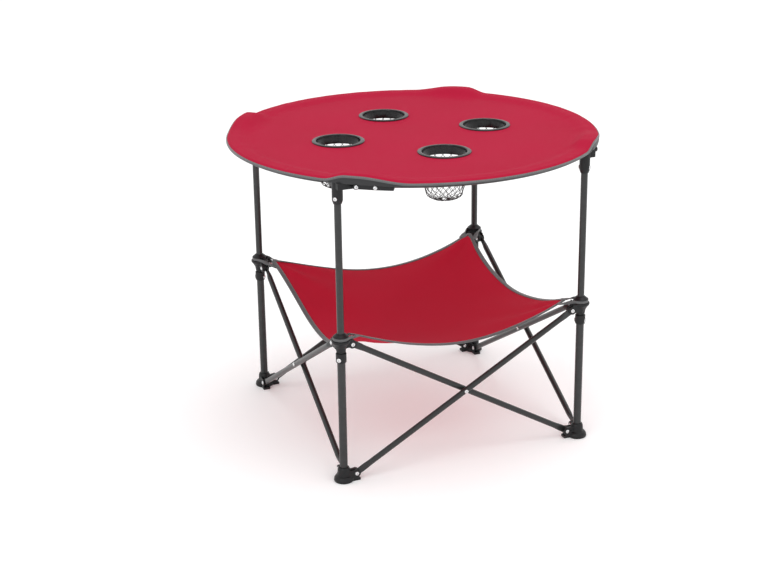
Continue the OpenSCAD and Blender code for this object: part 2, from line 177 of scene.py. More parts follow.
cad_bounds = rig.bounds()

import json
import math

import bpy
import numpy as np
from mathutils import Matrix, noise

MM = 0.001
CORNERS = ["front", "right", "back", "left"]
joints = {j["name"]: j for j in frame["joints"]}
print("frame:", len(frame["nodes"]), "nodes on", len(frame["bodies"]), "bodies")

# %% [markdown]
# ## Places
# Every place is read from the frame, so the pieces fit whatever size it has. The uprights stand at
# the corners of a square, and everything repeats by quarter turns. So each piece is worked out
# once, at the front corner or on the side that faces -Y, and turned into its four places.

# %% Places read from the frame
leg_low, leg_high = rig.box("lower_tube_front")
LEG = -(leg_low.x + leg_high.x) / 2
LOWER_R = (leg_high.x - leg_low.x) / 2
FOOT_PIVOT = joints["fold"]["pos_m"]
PIVOT_OUT = FOOT_PIVOT[0] + LEG
FOOT_Z = FOOT_PIVOT[2]
HUB_Z = joints["hub_front_pivot"]["pos_m"][2]
ARM_PIVOT_Z = joints["rim_swing_0"]["pos_m"][2]
tube_low, tube_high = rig.box("outer_cross_tube_0")
TUBE_OFFSET = -(tube_low.y + tube_high.y) / 2 - LEG
CROSS_R = (tube_high.y - tube_low.y) / 2
TONGUE_R = 6.5 * MM
TONGUE_T = 3 * MM

TURNS = [
    np.array([[c, -s, 0], [s, c, 0], [0, 0, 1]], float)
    for c, s in ((1, 0), (0, 1), (-1, 0), (0, -1))
]


def spin(points, k):
    """Points turned by k quarter turns about the table's axis."""
    return np.asarray(points, float) @ TURNS[k % 4].T


def smooth_step(low, high, value):
    """0 below low, 1 above high, and an even curve between."""
    t = np.clip((value - low) / (high - low), 0, 1)
    return t * t * (3 - 2 * t)


print(f"uprights {LEG:.4f} m from the middle, tubes {TUBE_OFFSET * 1000:.1f} mm off their plane")

# %% [markdown]
# ## Shader groups
# Several finishes share an effect: a weave, a soft change of shade, a fine grain, wear on edges.
# Each is a node group with named sockets, built once. A group gives out only a mask or a height,
# and the shader itself stays in the material, where its constants are set on its own sockets.


# %% Helpers for node trees
def add_node(tree, kind, values=None, **settings):
    """A node with its settings; values maps input names or numbers to numbers or output sockets."""
    made = tree.nodes.new(kind)
    for name, value in settings.items():
        setattr(made, name, value)
    for key, value in (values or {}).items():
        if isinstance(value, bpy.types.NodeSocket):
            tree.links.new(value, made.inputs[key])
        else:
            made.inputs[key].default_value = value
    return made


def maths(tree, operation, a, b=0.0, c=0.0):
    """The output of a Math node."""
    return add_node(tree, "ShaderNodeMath", {0: a, 1: b, 2: c}, operation=operation).outputs[0]


def new_group(name, inputs, outputs):
    """An empty shader group with float inputs (name, value) and float outputs."""
    tree = bpy.data.node_groups.new(name, "ShaderNodeTree")
    kind = "NodeSocketFloat"
    for label, value in inputs:
        tree.interface.new_socket(label, in_out="INPUT", socket_type=kind).default_value = value
    for label in outputs:
        tree.interface.new_socket(label, in_out="OUTPUT", socket_type=kind)
    return tree, tree.nodes.new("NodeGroupInput"), tree.nodes.new("NodeGroupOutput")


def object_point(tree, scale):
    """A point on the surface in object space, times scale."""
    place = tree.nodes.new("ShaderNodeTexCoord").outputs["Object"]
    return add_node(tree, "ShaderNodeVectorMath", {0: place, "Scale": scale}, operation="SCALE").outputs[0]


def noise_at(tree, scale, detail, roughness=0.5):
    """Noise from 0 to 1 over a surface, with scale patches per metre."""
    values = {"Vector": object_point(tree, scale), "Scale": 1.0, "Detail": detail, "Roughness": roughness}
    return add_node(tree, "ShaderNodeTexNoise", values).outputs[0]


# %% Plain weave
def build_weave():
    """Threads that pass over and under each other, seen from above. Gives their height, and a mask of the gaps between
    them that is painted shade.
    """
    tree, ins, outs = new_group("plain weave", [("Threads per metre", 1600.0)], ["Height", "Gap shade"])
    axes = add_node(tree, "ShaderNodeSeparateXYZ", {0: object_point(tree, ins.outputs[0])})
    u, v = axes.outputs[0], axes.outputs[1]
    warp = maths(tree, "ABSOLUTE", maths(tree, "SINE", maths(tree, "MULTIPLY", u, math.pi)))
    weft = maths(tree, "ABSOLUTE", maths(tree, "SINE", maths(tree, "MULTIPLY", v, math.pi)))
    cell = maths(tree, "ADD", maths(tree, "FLOOR", u), maths(tree, "FLOOR", v))
    over = maths(tree, "PINGPONG", cell, 1.0)
    height = add_node(tree, "ShaderNodeMix", {0: over, 2: warp, 3: weft}).outputs[0]
    gap = maths(tree, "SUBTRACT", 1.0, maths(tree, "MULTIPLY", warp, weft))
    tree.links.new(height, outs.inputs["Height"])
    tree.links.new(gap, outs.inputs["Gap shade"])
    return tree


# %% Soft shade
def build_shade():
    """Slow and fine changes of shade over a surface, from 0 to 1."""
    scales = [("Patches per metre", 9.0), ("Fine per metre", 260.0)]
    tree, ins, outs = new_group("soft shade", scales, ["Shade"])
    slow = noise_at(tree, ins.outputs[0], 3.0, 0.55)
    fine = noise_at(tree, ins.outputs[1], 2.0, 0.6)
    mixed = maths(tree, "MULTIPLY_ADD", fine, 0.35, maths(tree, "MULTIPLY", slow, 0.65))
    tree.links.new(mixed, outs.inputs["Shade"])
    return tree


# %% Grain
def build_grain():
    """The pebbled skin of powder coat or of spark-eroded moulds, as a height."""
    tree, ins, outs = new_group("fine grain", [("Grains per metre", 1800.0)], ["Height"])
    cells = add_node(
        tree, "ShaderNodeTexVoronoi",
        {"Vector": object_point(tree, ins.outputs[0]), "Scale": 1.0},
        feature="SMOOTH_F1",
    ).outputs["Distance"]
    tree.links.new(cells, outs.inputs["Height"])
    return tree


# %% Edge rub
def build_rub():
    """Where hands and the ground rub: outer edges, broken up by noise. Gives a mask."""
    tree, ins, outs = new_group("edge rub", [("Amount", 0.5), ("Patches per metre", 120.0)], ["Mask"])
    point = tree.nodes.new("ShaderNodeNewGeometry").outputs["Pointiness"]
    edge = add_node(tree, "ShaderNodeMapRange", {0: point, 1: 0.52, 2: 0.60, 3: 0.0, 4: 1.0}).outputs[0]
    patch = noise_at(tree, ins.outputs[1], 4.0)
    broken = add_node(tree, "ShaderNodeMapRange", {0: patch, 1: 0.42, 2: 0.66, 3: 0.0, 4: 1.0}).outputs[0]
    mask = maths(tree, "MULTIPLY", maths(tree, "MULTIPLY", edge, broken), ins.outputs[0])
    tree.links.new(mask, outs.inputs["Mask"])
    return tree


WEAVE = build_weave()
SHADE = build_shade()
GRAIN = build_grain()
RUB = build_rub()
print("shader groups:", [g.name for g in (WEAVE, SHADE, GRAIN, RUB)])

# %% [markdown]
# ## Finishes
# One function per kind of material. Cloth takes its weave as bump and its shade from two close
# colours; metal and plastic take a grain as bump and a paler look where they are rubbed.


# %% Cloth finish
def use_group(tree, group, **values):
    """A copy of a shader group in a material, with its own values."""
    made = tree.nodes.new("ShaderNodeGroup")
    made.node_tree = group
    for key, value in values.items():
        made.inputs[key.replace("_", " ")].default_value = value
    return made


def new_material(name, **constants):
    """A material and its Principled shader, with constants on the shader's own sockets."""
    made = bpy.data.materials.new(name)
    made.use_nodes = True
    shader = made.node_tree.nodes["Principled BSDF"]
    for key, value in constants.items():
        shader.inputs[key.replace("_", " ")].default_value = value
    return made, made.node_tree, shader


def two_tone(made, tree, shader, tone, tones, rough, height, strength, depth):
    """Gives a shader a colour between two tones, a roughness and a bump."""
    dark, light = tones
    colour = add_node(tree, "ShaderNodeMix", {0: tone, 6: (*dark, 1), 7: (*light, 1)}, data_type="RGBA")
    bump = add_node(tree, "ShaderNodeBump", {"Height": height, "Strength": strength, "Distance": depth})
    tree.links.new(colour.outputs[2], shader.inputs["Base Color"])
    tree.links.new(rough, shader.inputs["Roughness"])
    tree.links.new(bump.outputs[0], shader.inputs["Normal"])
    return made


def cloth(name, dark, light, threads, depth, roughness, **constants):
    """Woven cloth between two colours, with threads per metre and a weave depth in metres."""
    made, tree, shader = new_material(name, **constants)
    shade = use_group(tree, SHADE).outputs["Shade"]
    weave = use_group(tree, WEAVE, Threads_per_metre=threads)
    # painted shade: the colour darkens in the gaps between threads, on top of the random tone
    tone_and_gap_shade = maths(tree, "MULTIPLY_ADD", weave.outputs["Gap shade"], -0.16, shade)
    rough = maths(tree, "MULTIPLY_ADD", shade, 0.12, roughness - 0.06)
    height = weave.outputs["Height"]
    return two_tone(made, tree, shader, tone_and_gap_shade, (dark, light), rough, height, 0.55, depth)


# %% Hard finish
def hard(name, colour, rubbed, roughness, grains, depth, rub, **constants):
    """Painted metal or plastic: a grain, a slow change of gloss and paler rubbed edges."""
    made, tree, shader = new_material(name, **constants)
    shade = use_group(tree, SHADE, Patches_per_metre=24.0, Fine_per_metre=700.0).outputs["Shade"]
    mask = use_group(tree, RUB, Amount=rub).outputs["Mask"]
    toned = maths(tree, "MULTIPLY_ADD", shade, 0.25, mask)
    rough = maths(tree, "MULTIPLY_ADD", shade, 0.16, roughness - 0.08)
    grain = use_group(tree, GRAIN, Grains_per_metre=grains).outputs["Height"]
    return two_tone(made, tree, shader, toned, (colour, rubbed), rough, grain, 0.35, depth)


# %% The finishes of this table
TOP_CANVAS = cloth(
    "crimson top canvas", (0.36, 0.006, 0.030), (0.43, 0.011, 0.046), 1500.0, 0.12 * MM, 0.8,
    Sheen_Weight=0.02, Sheen_Roughness=0.45, Sheen_Tint=(1.0, 0.5, 0.6, 1), Specular_IOR_Level=0.08,
)
# The shelf is the top's canvas in lighter tones: painted light that offsets the shade the top casts on the shelf.
SHELF_CANVAS_PAINTED_LIGHTER = cloth(
    "crimson shelf canvas", (0.50, 0.008, 0.030), (0.58, 0.014, 0.046), 1500.0, 0.12 * MM, 0.8,
    Sheen_Weight=0.02, Sheen_Roughness=0.5, Sheen_Tint=(1.0, 0.5, 0.6, 1), Specular_IOR_Level=0.08,
)
GREY_BINDING = cloth(
    "grey binding tape", (0.075, 0.075, 0.077), (0.14, 0.14, 0.143), 1100.0, 0.2 * MM, 0.66,
    Sheen_Weight=0.3, Sheen_Roughness=0.4,
)
# black tape of the net pockets; the same black also makes the strip under the top's hem, which is painted shade
BLACK_TAPE_AND_HEM_SHADE = cloth(
    "black tape and painted hem shade", (0.010, 0.010, 0.011), (0.024, 0.024, 0.026), 1100.0, 0.2 * MM, 0.7,
    Sheen_Weight=0.2, Sheen_Roughness=0.5,
)
THREAD = cloth(
    "sewing thread", (0.20, 0.20, 0.20), (0.32, 0.32, 0.32), 5000.0, 0.05 * MM, 0.6,
)
NET = cloth(
    "black net cord", (0.012, 0.012, 0.013), (0.030, 0.030, 0.032), 3500.0, 0.08 * MM, 0.6,
)
STEEL = hard(
    "charcoal powder coat", (0.012, 0.013, 0.013), (0.030, 0.031, 0.032), 0.34, 900.0, 0.012 * MM, 0.35,
    Coat_Weight=0.12, Coat_Roughness=0.2, Specular_IOR_Level=0.45,
)
NYLON = hard(
    "black moulded nylon", (0.007, 0.007, 0.008), (0.022, 0.022, 0.023), 0.42, 900.0, 0.02 * MM, 0.5,
    Specular_IOR_Level=0.3,
)
RING_PLASTIC = hard(
    "black ring plastic", (0.005, 0.005, 0.006), (0.022, 0.022, 0.023), 0.27, 900.0, 0.02 * MM, 0.5,
    Coat_Weight=0.1, Coat_Roughness=0.12, Specular_IOR_Level=0.3,
)
ZINC = hard(
    "bright zinc plate", (0.66, 0.66, 0.67), (0.80, 0.80, 0.80), 0.26, 1500.0, 0.02 * MM, 0.4,
    Metallic=1.0,
)
print("finishes:", len(bpy.data.materials))

# %% [markdown]
# ## Mesh tools
# Most pieces here are one outline carried along a path: a tape, a ring, a tube, a rivet head. A few
# short functions cover them all. A class gathers the parts of one piece before it becomes a mesh.


# %% Lofts, lathes and sweeps
def loft(rings, caps=True, loop=False):
    """Points and faces between closed rings of equal length."""
    n = len(rings[0])
    faces = []
    for i in range(len(rings) if loop else len(rings) - 1):
        a, b = i * n, (i + 1) % len(rings) * n
        faces += [(a + j, a + (j + 1) % n, b + (j + 1) % n, b + j) for j in range(n)]
    if caps and not loop:
        last = (len(rings) - 1) * n
        faces += [tuple(range(n - 1, -1, -1)), tuple(range(last, last + n))]
    return np.concatenate([np.asarray(r, float) for r in rings]), faces


def lathe(profile, centre, steps=64):
    """A closed (radius, height) outline turned about a vertical line through centre."""
    rings = []
    for i in range(steps):
        c, s = math.cos(2 * math.pi * i / steps), math.sin(2 * math.pi * i / steps)
        rings.append([(centre[0] + r * c, centre[1] + r * s, z) for r, z in profile])
    return loft(rings, loop=True)


def round_section(width, thick, count=14, square=3.2):
    """A flat outline with rounded corners, as (across, up) pairs."""
    a = np.arange(count) * 2 * math.pi / count
    c, s = np.cos(a), np.sin(a)
    across = np.sign(c) * np.abs(c) ** (2 / square) * width / 2
    up = np.sign(s) * np.abs(s) ** (2 / square) * thick / 2
    return np.stack([across, up], 1)


def sweep(path, across, up, sections):
    """Outlines carried along a path; across and up are unit directions at each point."""
    rings = [
        p + np.outer(sec[:, 0], a) + np.outer(sec[:, 1], u)
        for p, a, u, sec in zip(path, across, up, sections)
    ]
    return loft(rings)


def unit(vectors):
    """Vectors of length 1."""
    vectors = np.asarray(vectors, float)
    return vectors / np.maximum(np.linalg.norm(vectors, axis=-1, keepdims=True), 1e-12)


# %% A piece in the making
class Shape:
    """The vertices and faces of one piece, gathered part by part."""

    def __init__(self):
        self.points, self.faces, self.kinds, self.count = [], [], [], 0

    def add(self, part, kind=0):
        points, faces = part
        self.faces += [tuple(self.count + i for i in f) for f in faces]
        self.kinds += [kind] * len(faces)
        self.points.append(np.asarray(points, float))
        self.count += len(points)
        return self

    def mesh(self, name, finishes, sharp=35.0):
        """The mesh, shaded smooth except over edges sharper than sharp degrees."""
        made = bpy.data.meshes.new(name)
        made.from_pydata(np.concatenate(self.points).tolist(), [], self.faces)
        for finish in finishes:
            made.materials.append(finish)
        made.polygons.foreach_set("material_index", np.array(self.kinds, np.int32))
        made.shade_smooth()
        made.set_sharp_from_angle(angle=math.radians(sharp))
        made.validate()
        return made


def show(name, data):
    """An object in the scene for a mesh, a lamp or a camera."""
    made = bpy.data.objects.new(name, data)
    bpy.context.scene.collection.objects.link(made)
    return made


def dress(piece, body, slot, *nodes):
    """Sets the body a piece rides on, its material slot and the frame parts it stands for."""
    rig.ride(piece, body)
    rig.replaces(piece, *nodes)
    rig.slot(piece, slot)


def turned(mesh, name, k):
    """A copy of a front or side 0 mesh, turned to corner or side k."""
    copy = mesh.copy()
    copy.transform(Matrix.Rotation(math.radians(90 * k), 4, "Z"))
    return show(name, copy)


# %% [markdown]
# ## Moulded plastic
# Feet, hubs, collars, brackets and arms are injection moulded: every edge has a small radius, and
# ribs run into each other without a seam. Modelling those radii by hand is slow. Instead the rough
# solids are left overlapping, a voxel remesh joins them under one skin, and a few passes of
# smoothing round that skin by about a millimetre.


# %% Moulding
VOXEL = 0.8 * MM


def mould(name, mesh, finish, voxel=VOXEL, passes=5):
    """One softly rounded skin around the overlapping solids of a mesh."""
    rough = show(name + "_rough", mesh)
    skin = rough.modifiers.new("skin", "REMESH")
    skin.mode = "VOXEL"
    skin.voxel_size = voxel
    soften = rough.modifiers.new("soften", "SMOOTH")
    soften.factor = 0.5
    soften.iterations = passes
    result = bpy.data.meshes.new_from_object(rough.evaluated_get(bpy.context.evaluated_depsgraph_get()))
    bpy.data.objects.remove(rough)
    result.materials.clear()
    result.materials.append(finish)
    result.polygons.foreach_set("material_index", np.zeros(len(result.polygons), np.int32))
    result.shade_smooth()
    print(f"{name}: {len(result.polygons)} faces")
    return result


def block(low, high):
    """An upright box as points and faces."""
    (x0, y0, z0), (x1, y1, z1) = low, high
    ring = lambda z: [(x0, y0, z), (x1, y0, z), (x1, y1, z), (x0, y1, z)]
    return loft([ring(z0), ring(z1)])


def disc(middle, axis, radius, half, steps=40):
    """A round plate about middle, facing along axis."""
    axis = unit(axis)
    side = unit(np.cross(axis, (0.0, 0.0, 1.0)))
    up = np.cross(side, axis)
    a = np.arange(steps) * 2 * math.pi / steps
    ring = np.outer(np.cos(a), side * radius) + np.outer(np.sin(a), up * radius)
    return loft([np.asarray(middle) - axis * half + ring, np.asarray(middle) + axis * half + ring])


# %% [markdown]
# ## Feet and hubs
# A foot is a low black cup. It holds the upright and, in two slots at right angles, the flattened
# ends of two cross tubes, each on a rivet. A hub is the same idea turned over: it slides on the
# upright, flares out to carry two tube ends, and has a groove for the shelf's webbing with a small
# cone above it. Both are the same fork on a different body.

# %% The fork that holds one tube end
EAR_BACK = 3.5 * MM
SLOT_NEAR = TUBE_OFFSET - TONGUE_T / 2 - 0.35 * MM
SLOT_FAR = TUBE_OFFSET + TONGUE_T / 2 + 0.45 * MM
CHEEK_T = 2.4 * MM
CHEEK_OUT = SLOT_FAR + CHEEK_T
EAR_R = TONGUE_R + 1.3 * MM
FOOT_ARMS = np.array([[(1, 0), (0, -1)], [(0, 1), (1, 0)]], float)
HUB_ARMS = np.array([[(1, 0), (0, 1)], [(0, 1), (-1, 0)]], float)
leg_axis = np.array([-LEG, -LEG])


def slab(shape, along, beside, reach, widths, bottom, top):
    """A block from the upright's axis out along an arm, between two widths beside the arm."""
    corners = [leg_axis + along * e + beside * w for e in (0, reach) for w in widths]
    shape.add(block((*np.min(corners, 0), bottom), (*np.max(corners, 0), top)))


def fork(shape, along, beside, pivot_z, bottom, top):
    """Two cheeks round a slot, from the upright out to the pivot."""
    for near, far in ((-EAR_BACK, SLOT_NEAR), (SLOT_FAR, CHEEK_OUT)):
        slab(shape, along, beside, PIVOT_OUT, (near, far), bottom, top)
        middle = leg_axis + along * PIVOT_OUT + beside * (near + far) / 2
        shape.add(disc((*middle, pivot_z), (*beside, 0), EAR_R, (far - near) / 2))


# %% Foot
FOOT_R = 19 * MM
FOOT_FLOOR = 5.2 * MM
FOOT_REACH = PIVOT_OUT + EAR_R - 0.5 * MM
foot_low, foot_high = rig.box("foot_front")
foot = Shape()
foot.add(lathe([
    (0.1 * MM, foot_low.z), (FOOT_R - 1.5 * MM, foot_low.z), (FOOT_R, 2.5 * MM),
    (FOOT_R - 0.8 * MM, 7 * MM), (FOOT_R - 3.5 * MM, 11 * MM), (0.1 * MM, 13 * MM),
], leg_axis))
foot.add(lathe([
    (0.1 * MM, foot_low.z), (LOWER_R + 5.2 * MM, foot_low.z), (LOWER_R + 4.0 * MM, foot_high.z - 4 * MM),
    (LOWER_R + 2.2 * MM, foot_high.z), (0.1 * MM, foot_high.z),
], leg_axis))
for along, beside in FOOT_ARMS:
    fork(foot, along, beside, FOOT_Z, 1.0 * MM, FOOT_Z + EAR_R - 0.6 * MM)
    slab(foot, along, beside, FOOT_REACH, (-EAR_BACK, CHEEK_OUT), foot_low.z, FOOT_FLOOR)
foot_mesh = mould("foot", foot.mesh("foot", [NYLON]), NYLON)

# %% Hub
hub_low, hub_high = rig.box("hub_front")
upper_low, upper_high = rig.box("upper_tube_front")
UPPER_R = (upper_high.x - upper_low.x) / 2
HUB_R = 17 * MM
STRAP_GROOVE = 6 * MM
HUB_CAP = 6 * MM
GROOVE_R = 13 * MM
GROOVE_TOP = hub_high.z - HUB_CAP
STRAP_Z = GROOVE_TOP - STRAP_GROOVE / 2
hub = Shape()
hub.add(lathe([
    (0.1 * MM, hub_low.z), (UPPER_R + 2.0 * MM, hub_low.z), (UPPER_R + 3.2 * MM, hub_low.z + 8 * MM),
    (HUB_R - 3.5 * MM, hub_low.z + 15 * MM), (HUB_R, GROOVE_TOP - STRAP_GROOVE - 4 * MM),
    (HUB_R, GROOVE_TOP - STRAP_GROOVE), (GROOVE_R, GROOVE_TOP - STRAP_GROOVE), (GROOVE_R, GROOVE_TOP),
    (GROOVE_R + 2.4 * MM, GROOVE_TOP), (UPPER_R + 3.4 * MM, hub_high.z - 1.5 * MM),
    (UPPER_R + 1.8 * MM, hub_high.z), (0.1 * MM, hub_high.z),
], leg_axis))
for along, beside in HUB_ARMS:
    fork(hub, along, beside, HUB_Z, HUB_Z - EAR_R + 2.5 * MM, GROOVE_TOP - STRAP_GROOVE - 1 * MM)
hub_mesh = mould("hub", hub.mesh("hub", [NYLON]), NYLON, passes=4)

# %% [markdown]
# ## Collars, brackets and arms
# The brackets and arms keep the frame's own shape, so their moulding starts from the frame's meshes.
# The collar is turned from an outline instead, and two thin raised beads wind down its side.


# %% Skins from the frame's meshes
def moulded_node(node, finish, passes):
    """A rounded skin of one frame part."""
    copy = frame["nodes"][node].data.copy()
    return mould(node, copy, finish, passes=passes)


bracket_mesh = moulded_node("top_bracket_front", NYLON, 5)
arm_mesh = moulded_node("rim_arm_0", NYLON, 5)

# %% Collar
collar_low, collar_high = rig.box("stop_collar_front")
COLLAR_R = (collar_high.x - collar_low.x) / 2
collar = Shape()
collar.add(lathe([
    (LOWER_R - 0.5 * MM, collar_low.z), (COLLAR_R - 1.0 * MM, collar_low.z),
    (COLLAR_R, collar_low.z + 2.5 * MM), (COLLAR_R, collar_high.z - 1.2 * MM),
    (COLLAR_R - 1.2 * MM, collar_high.z), (UPPER_R - 0.3 * MM, collar_high.z),
], leg_axis, 72))
for turn in (0.0, math.pi):
    bead_path, bead_out = [], []
    for t in np.linspace(0, 1, 16):
        a = math.radians(190) + turn + 1.15 * t
        bead_out.append((math.cos(a), math.sin(a), 0))
        height = collar_high.z + 0.5 * MM - t * (collar_high.z - collar_low.z - 3 * MM)
        bead_path.append((*(leg_axis + COLLAR_R * np.array(bead_out[-1][:2])), height))
    bead_dir = unit(np.gradient(np.array(bead_path), axis=0))
    bead_side = unit(np.cross(bead_dir, bead_out))
    bead = [round_section(1.5 * MM, 1.3 * MM)] * len(bead_path)
    collar.add(sweep(bead_path, bead_side, np.array(bead_out), bead))
collar_mesh = mould("collar", collar.mesh("collar", [NYLON]), NYLON, voxel=0.6 * MM, passes=3)

# %% Place the mouldings
for k, corner in enumerate(CORNERS):
    for mesh, part in (
        (foot_mesh, "foot"), (hub_mesh, "hub"), (bracket_mesh, "top_bracket"), (collar_mesh, "stop_collar"),
    ):
        body = ("hub_" if part == "hub" else "upright_") + corner
        dress(turned(mesh, f"moulded_{part}_{corner}", k), body, "black_plastic", f"{part}_{corner}")
    dress(turned(arm_mesh, f"moulded_rim_arm_{k}", k), f"rim_{k}", "black_plastic", f"rim_arm_{k}")

# %% [markdown]
# ## Steel tubes
# The uprights and the rim are plain round tubes, so the frame's own parts stay and only take the
# powder coat. A cross tube is pressed flat at both ends, where its rivet goes through. The press
# leaves a smooth change from round to flat, which is a loft of outlines that widen as they thin.

# %% Round tubes keep the frame's shape
round_tubes = [f"{part}_{corner}" for corner in CORNERS for part in ("lower_tube", "upper_tube")]
round_tubes += [f"rim_tube_{k}" for k in range(4)]
for node in round_tubes:
    frame["nodes"][node].data.materials.clear()
    frame["nodes"][node].data.materials.append(STEEL)
print("round tubes:", len(round_tubes))

# %% Pressed tubes
PRESS_FLAT = 10 * MM
PRESS_ROUND = 31 * MM


def pressed_tube(name, start, end, outward):
    """A tube between two pivots, flat at its ends and round between."""
    start, end, outward = (np.array(v, float) for v in (start, end, outward))
    length = np.linalg.norm(end - start)
    along = (end - start) / length
    edge = np.cross(outward, along)
    tip = [-TONGUE_R * math.cos(t) for t in np.linspace(0.12, math.pi / 2, 7)]
    bend = list(np.linspace(PRESS_FLAT, PRESS_ROUND, 14))
    near = tip + bend
    stations = near + [length / 4, length / 2, 3 * length / 4] + [length - x for x in reversed(near)]
    rings = []
    for x in stations:
        from_end = min(x, length - x)
        wide = math.sqrt(max(TONGUE_R**2 - min(from_end, 0) ** 2, 1e-9))
        t = float(smooth_step(PRESS_FLAT, PRESS_ROUND, from_end))
        half_w = wide + (CROSS_R - wide) * t
        half_t = TONGUE_T / 2 + (CROSS_R - TONGUE_T / 2) * t
        section = round_section(2 * half_w, 2 * half_t, 28, 2 + 3 * (1 - t) if from_end > 0 else 5.0)
        middle = start + along * x
        rings.append(middle + np.outer(section[:, 0], edge) + np.outer(section[:, 1], outward))
    return show(name, Shape().add(loft(rings)).mesh(name, [STEEL], 50))


for k in range(4):
    out = spin((0, -1, 0), k)
    reach = LEG - PIVOT_OUT
    for part, sign, node in (("outer", 1, f"outer_cross_tube_{k}"), ("inner", -1, f"inner_cross_tube_{k}")):
        y = -LEG - sign * TUBE_OFFSET
        foot_end, hub_end = spin([(-sign * reach, y, FOOT_Z), (sign * reach, y, HUB_Z)], k)
        tube = pressed_tube(f"pressed_{node}", foot_end, hub_end, out)
        dress(tube, f"{part}_tube_{k}", "frame_steel", node)
print("pressed tubes: 8")

# %% [markdown]
# ## Rivets
# The frame is held by tubular rivets: a bright domed head with a small hollow in its middle. Each
# head is a turned outline set on the face that it clamps.

# %% Rivet heads
HEAD_R = 4.2 * MM
HEAD_H = 1.7 * MM
HEAD_PROFILE = [
    (0.05, 0.30), (0.22, 0.30), (0.27, 0.85), (0.34, 1.0), (0.60, 0.93),
    (0.84, 0.66), (0.97, 0.34), (1.0, 0.0), (0.9, -0.35), (0.05, -0.35),
]


def rivet_head(shape, seat, direction, scale=1.0):
    """A domed head whose flat side sits at seat and faces away along direction."""
    direction = unit(direction)
    side = unit(np.cross(direction, (0.12, 0.05, 1.0)))
    other = np.cross(direction, side)
    rings = []
    for i in range(28):
        a = 2 * math.pi * i / 28
        spoke = side * math.cos(a) + other * math.sin(a)
        rings.append([
            np.asarray(seat) + spoke * r * HEAD_R * scale + direction * h * HEAD_H for r, h in HEAD_PROFILE
        ])
    shape.add(loft(rings, loop=True))


def rivet_piece(name, heads, k, body, node):
    """One piece with all heads of a node, turned to corner k."""
    shape = Shape()
    for seat, direction, scale in heads:
        rivet_head(shape, spin(seat, k), spin(direction, k), scale)
    dress(show(name, shape.mesh(name, [ZINC], 40)), body, "rivet_steel", node)


def arm_heads(arms, z):
    """The rivet heads on both faces of each fork."""
    heads = []
    for along, beside in arms:
        for w, sign in ((CHEEK_OUT, 1), (-EAR_BACK, -1)):
            point = leg_axis + along * PIVOT_OUT + beside * w
            heads.append(((*point, z), (*(sign * beside), 0), 0.95))
    return heads


# %% Place the rivets
bracket_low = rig.box("top_bracket_front")[0]
BRACKET_R = UPPER_R + 3.4 * MM
BRACKET_RIVET_Z = bracket_low.z + 11 * MM
COLLAR_RIVET_Z = collar_low.z + 7 * MM
rivets_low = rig.box("upright_rivets_front")[0]
ARM_RIVET_Y = rivets_low.y + 1.6 * MM
ARM_FACE_R = -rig.box("rim_tube_0")[0].y + 2.3 * MM
diagonal = np.array([-1, -1, 0]) / math.sqrt(2)
for k, corner in enumerate(CORNERS):
    heads = arm_heads(FOOT_ARMS, FOOT_Z)
    for z, radius, size in ((COLLAR_RIVET_Z, COLLAR_R, 1.0), (BRACKET_RIVET_Z, BRACKET_R, 0.92)):
        for sign in (1, -1):
            seat = np.array([-LEG, -LEG, z]) + diagonal * sign * radius
            heads.append((seat, diagonal * sign, size))
    heads.append(((-LEG + PIVOT_OUT, ARM_RIVET_Y, ARM_PIVOT_Z), (0, -1, 0), 0.92))
    rivet_piece(f"rivet_heads_{corner}", heads, k, f"upright_{corner}", f"upright_rivets_{corner}")
    heads = arm_heads(HUB_ARMS, HUB_Z)
    rivet_piece(f"hub_rivet_heads_{corner}", heads, k, f"hub_{corner}", f"hub_rivets_{corner}")
    tail_angle = 35 * MM / ARM_FACE_R - math.asin((LEG - PIVOT_OUT) / ARM_FACE_R)
    tail_out = np.array([math.sin(tail_angle), -math.cos(tail_angle), 0])
    tail = (tail_out * ARM_FACE_R + np.array([0, 0, ARM_PIVOT_Z]), tail_out, 0.92)
    rivet_piece(f"arm_rivet_head_{k}", [tail], k, f"rim_{k}", f"rim_arm_{k}")
    crossing_z = (FOOT_Z + HUB_Z) / 2
    gap = TUBE_OFFSET + CROSS_R
    crossing = [((0, -LEG - s * gap, crossing_z), (0, -s, 0), 0.95) for s in (1, -1)]
    rivet_piece(f"crossing_rivet_heads_{k}", crossing, k, f"outer_tube_{k}", f"crossing_rivet_{k}")

# %% [markdown]
# ## Cloth
# The top is one piece of coated canvas: a shallow dish, a soft roll over the rim tubes and a bound
# hem. It is worked out as one surface from a formula, with its smooth normals. When the table
# folds, each rim tube swings down with its own quarter of the edge, and the dish gathers towards
# it. So the finished surface is cut along radial lines into pieces that meet exactly at rest, each
# with the normals of the whole; each piece rides on a rim tube, and the gores inside the band flatten as the frame
# folds.


# %% Cutting a surface into closed cloth pieces
def vertex_normals(points, faces):
    """Smooth normals at the points of a surface, whose faces have 3 or 4 corners."""
    normals = np.zeros_like(points)
    for size in (3, 4):
        f = np.array([x for x in faces if len(x) == size], int)
        if len(f):
            n = np.cross(points[f[:, 2]] - points[f[:, 0]], points[f[:, -1]] - points[f[:, 1]])
            for c in range(size):
                np.add.at(normals, f[:, c], n)
    return unit(normals)


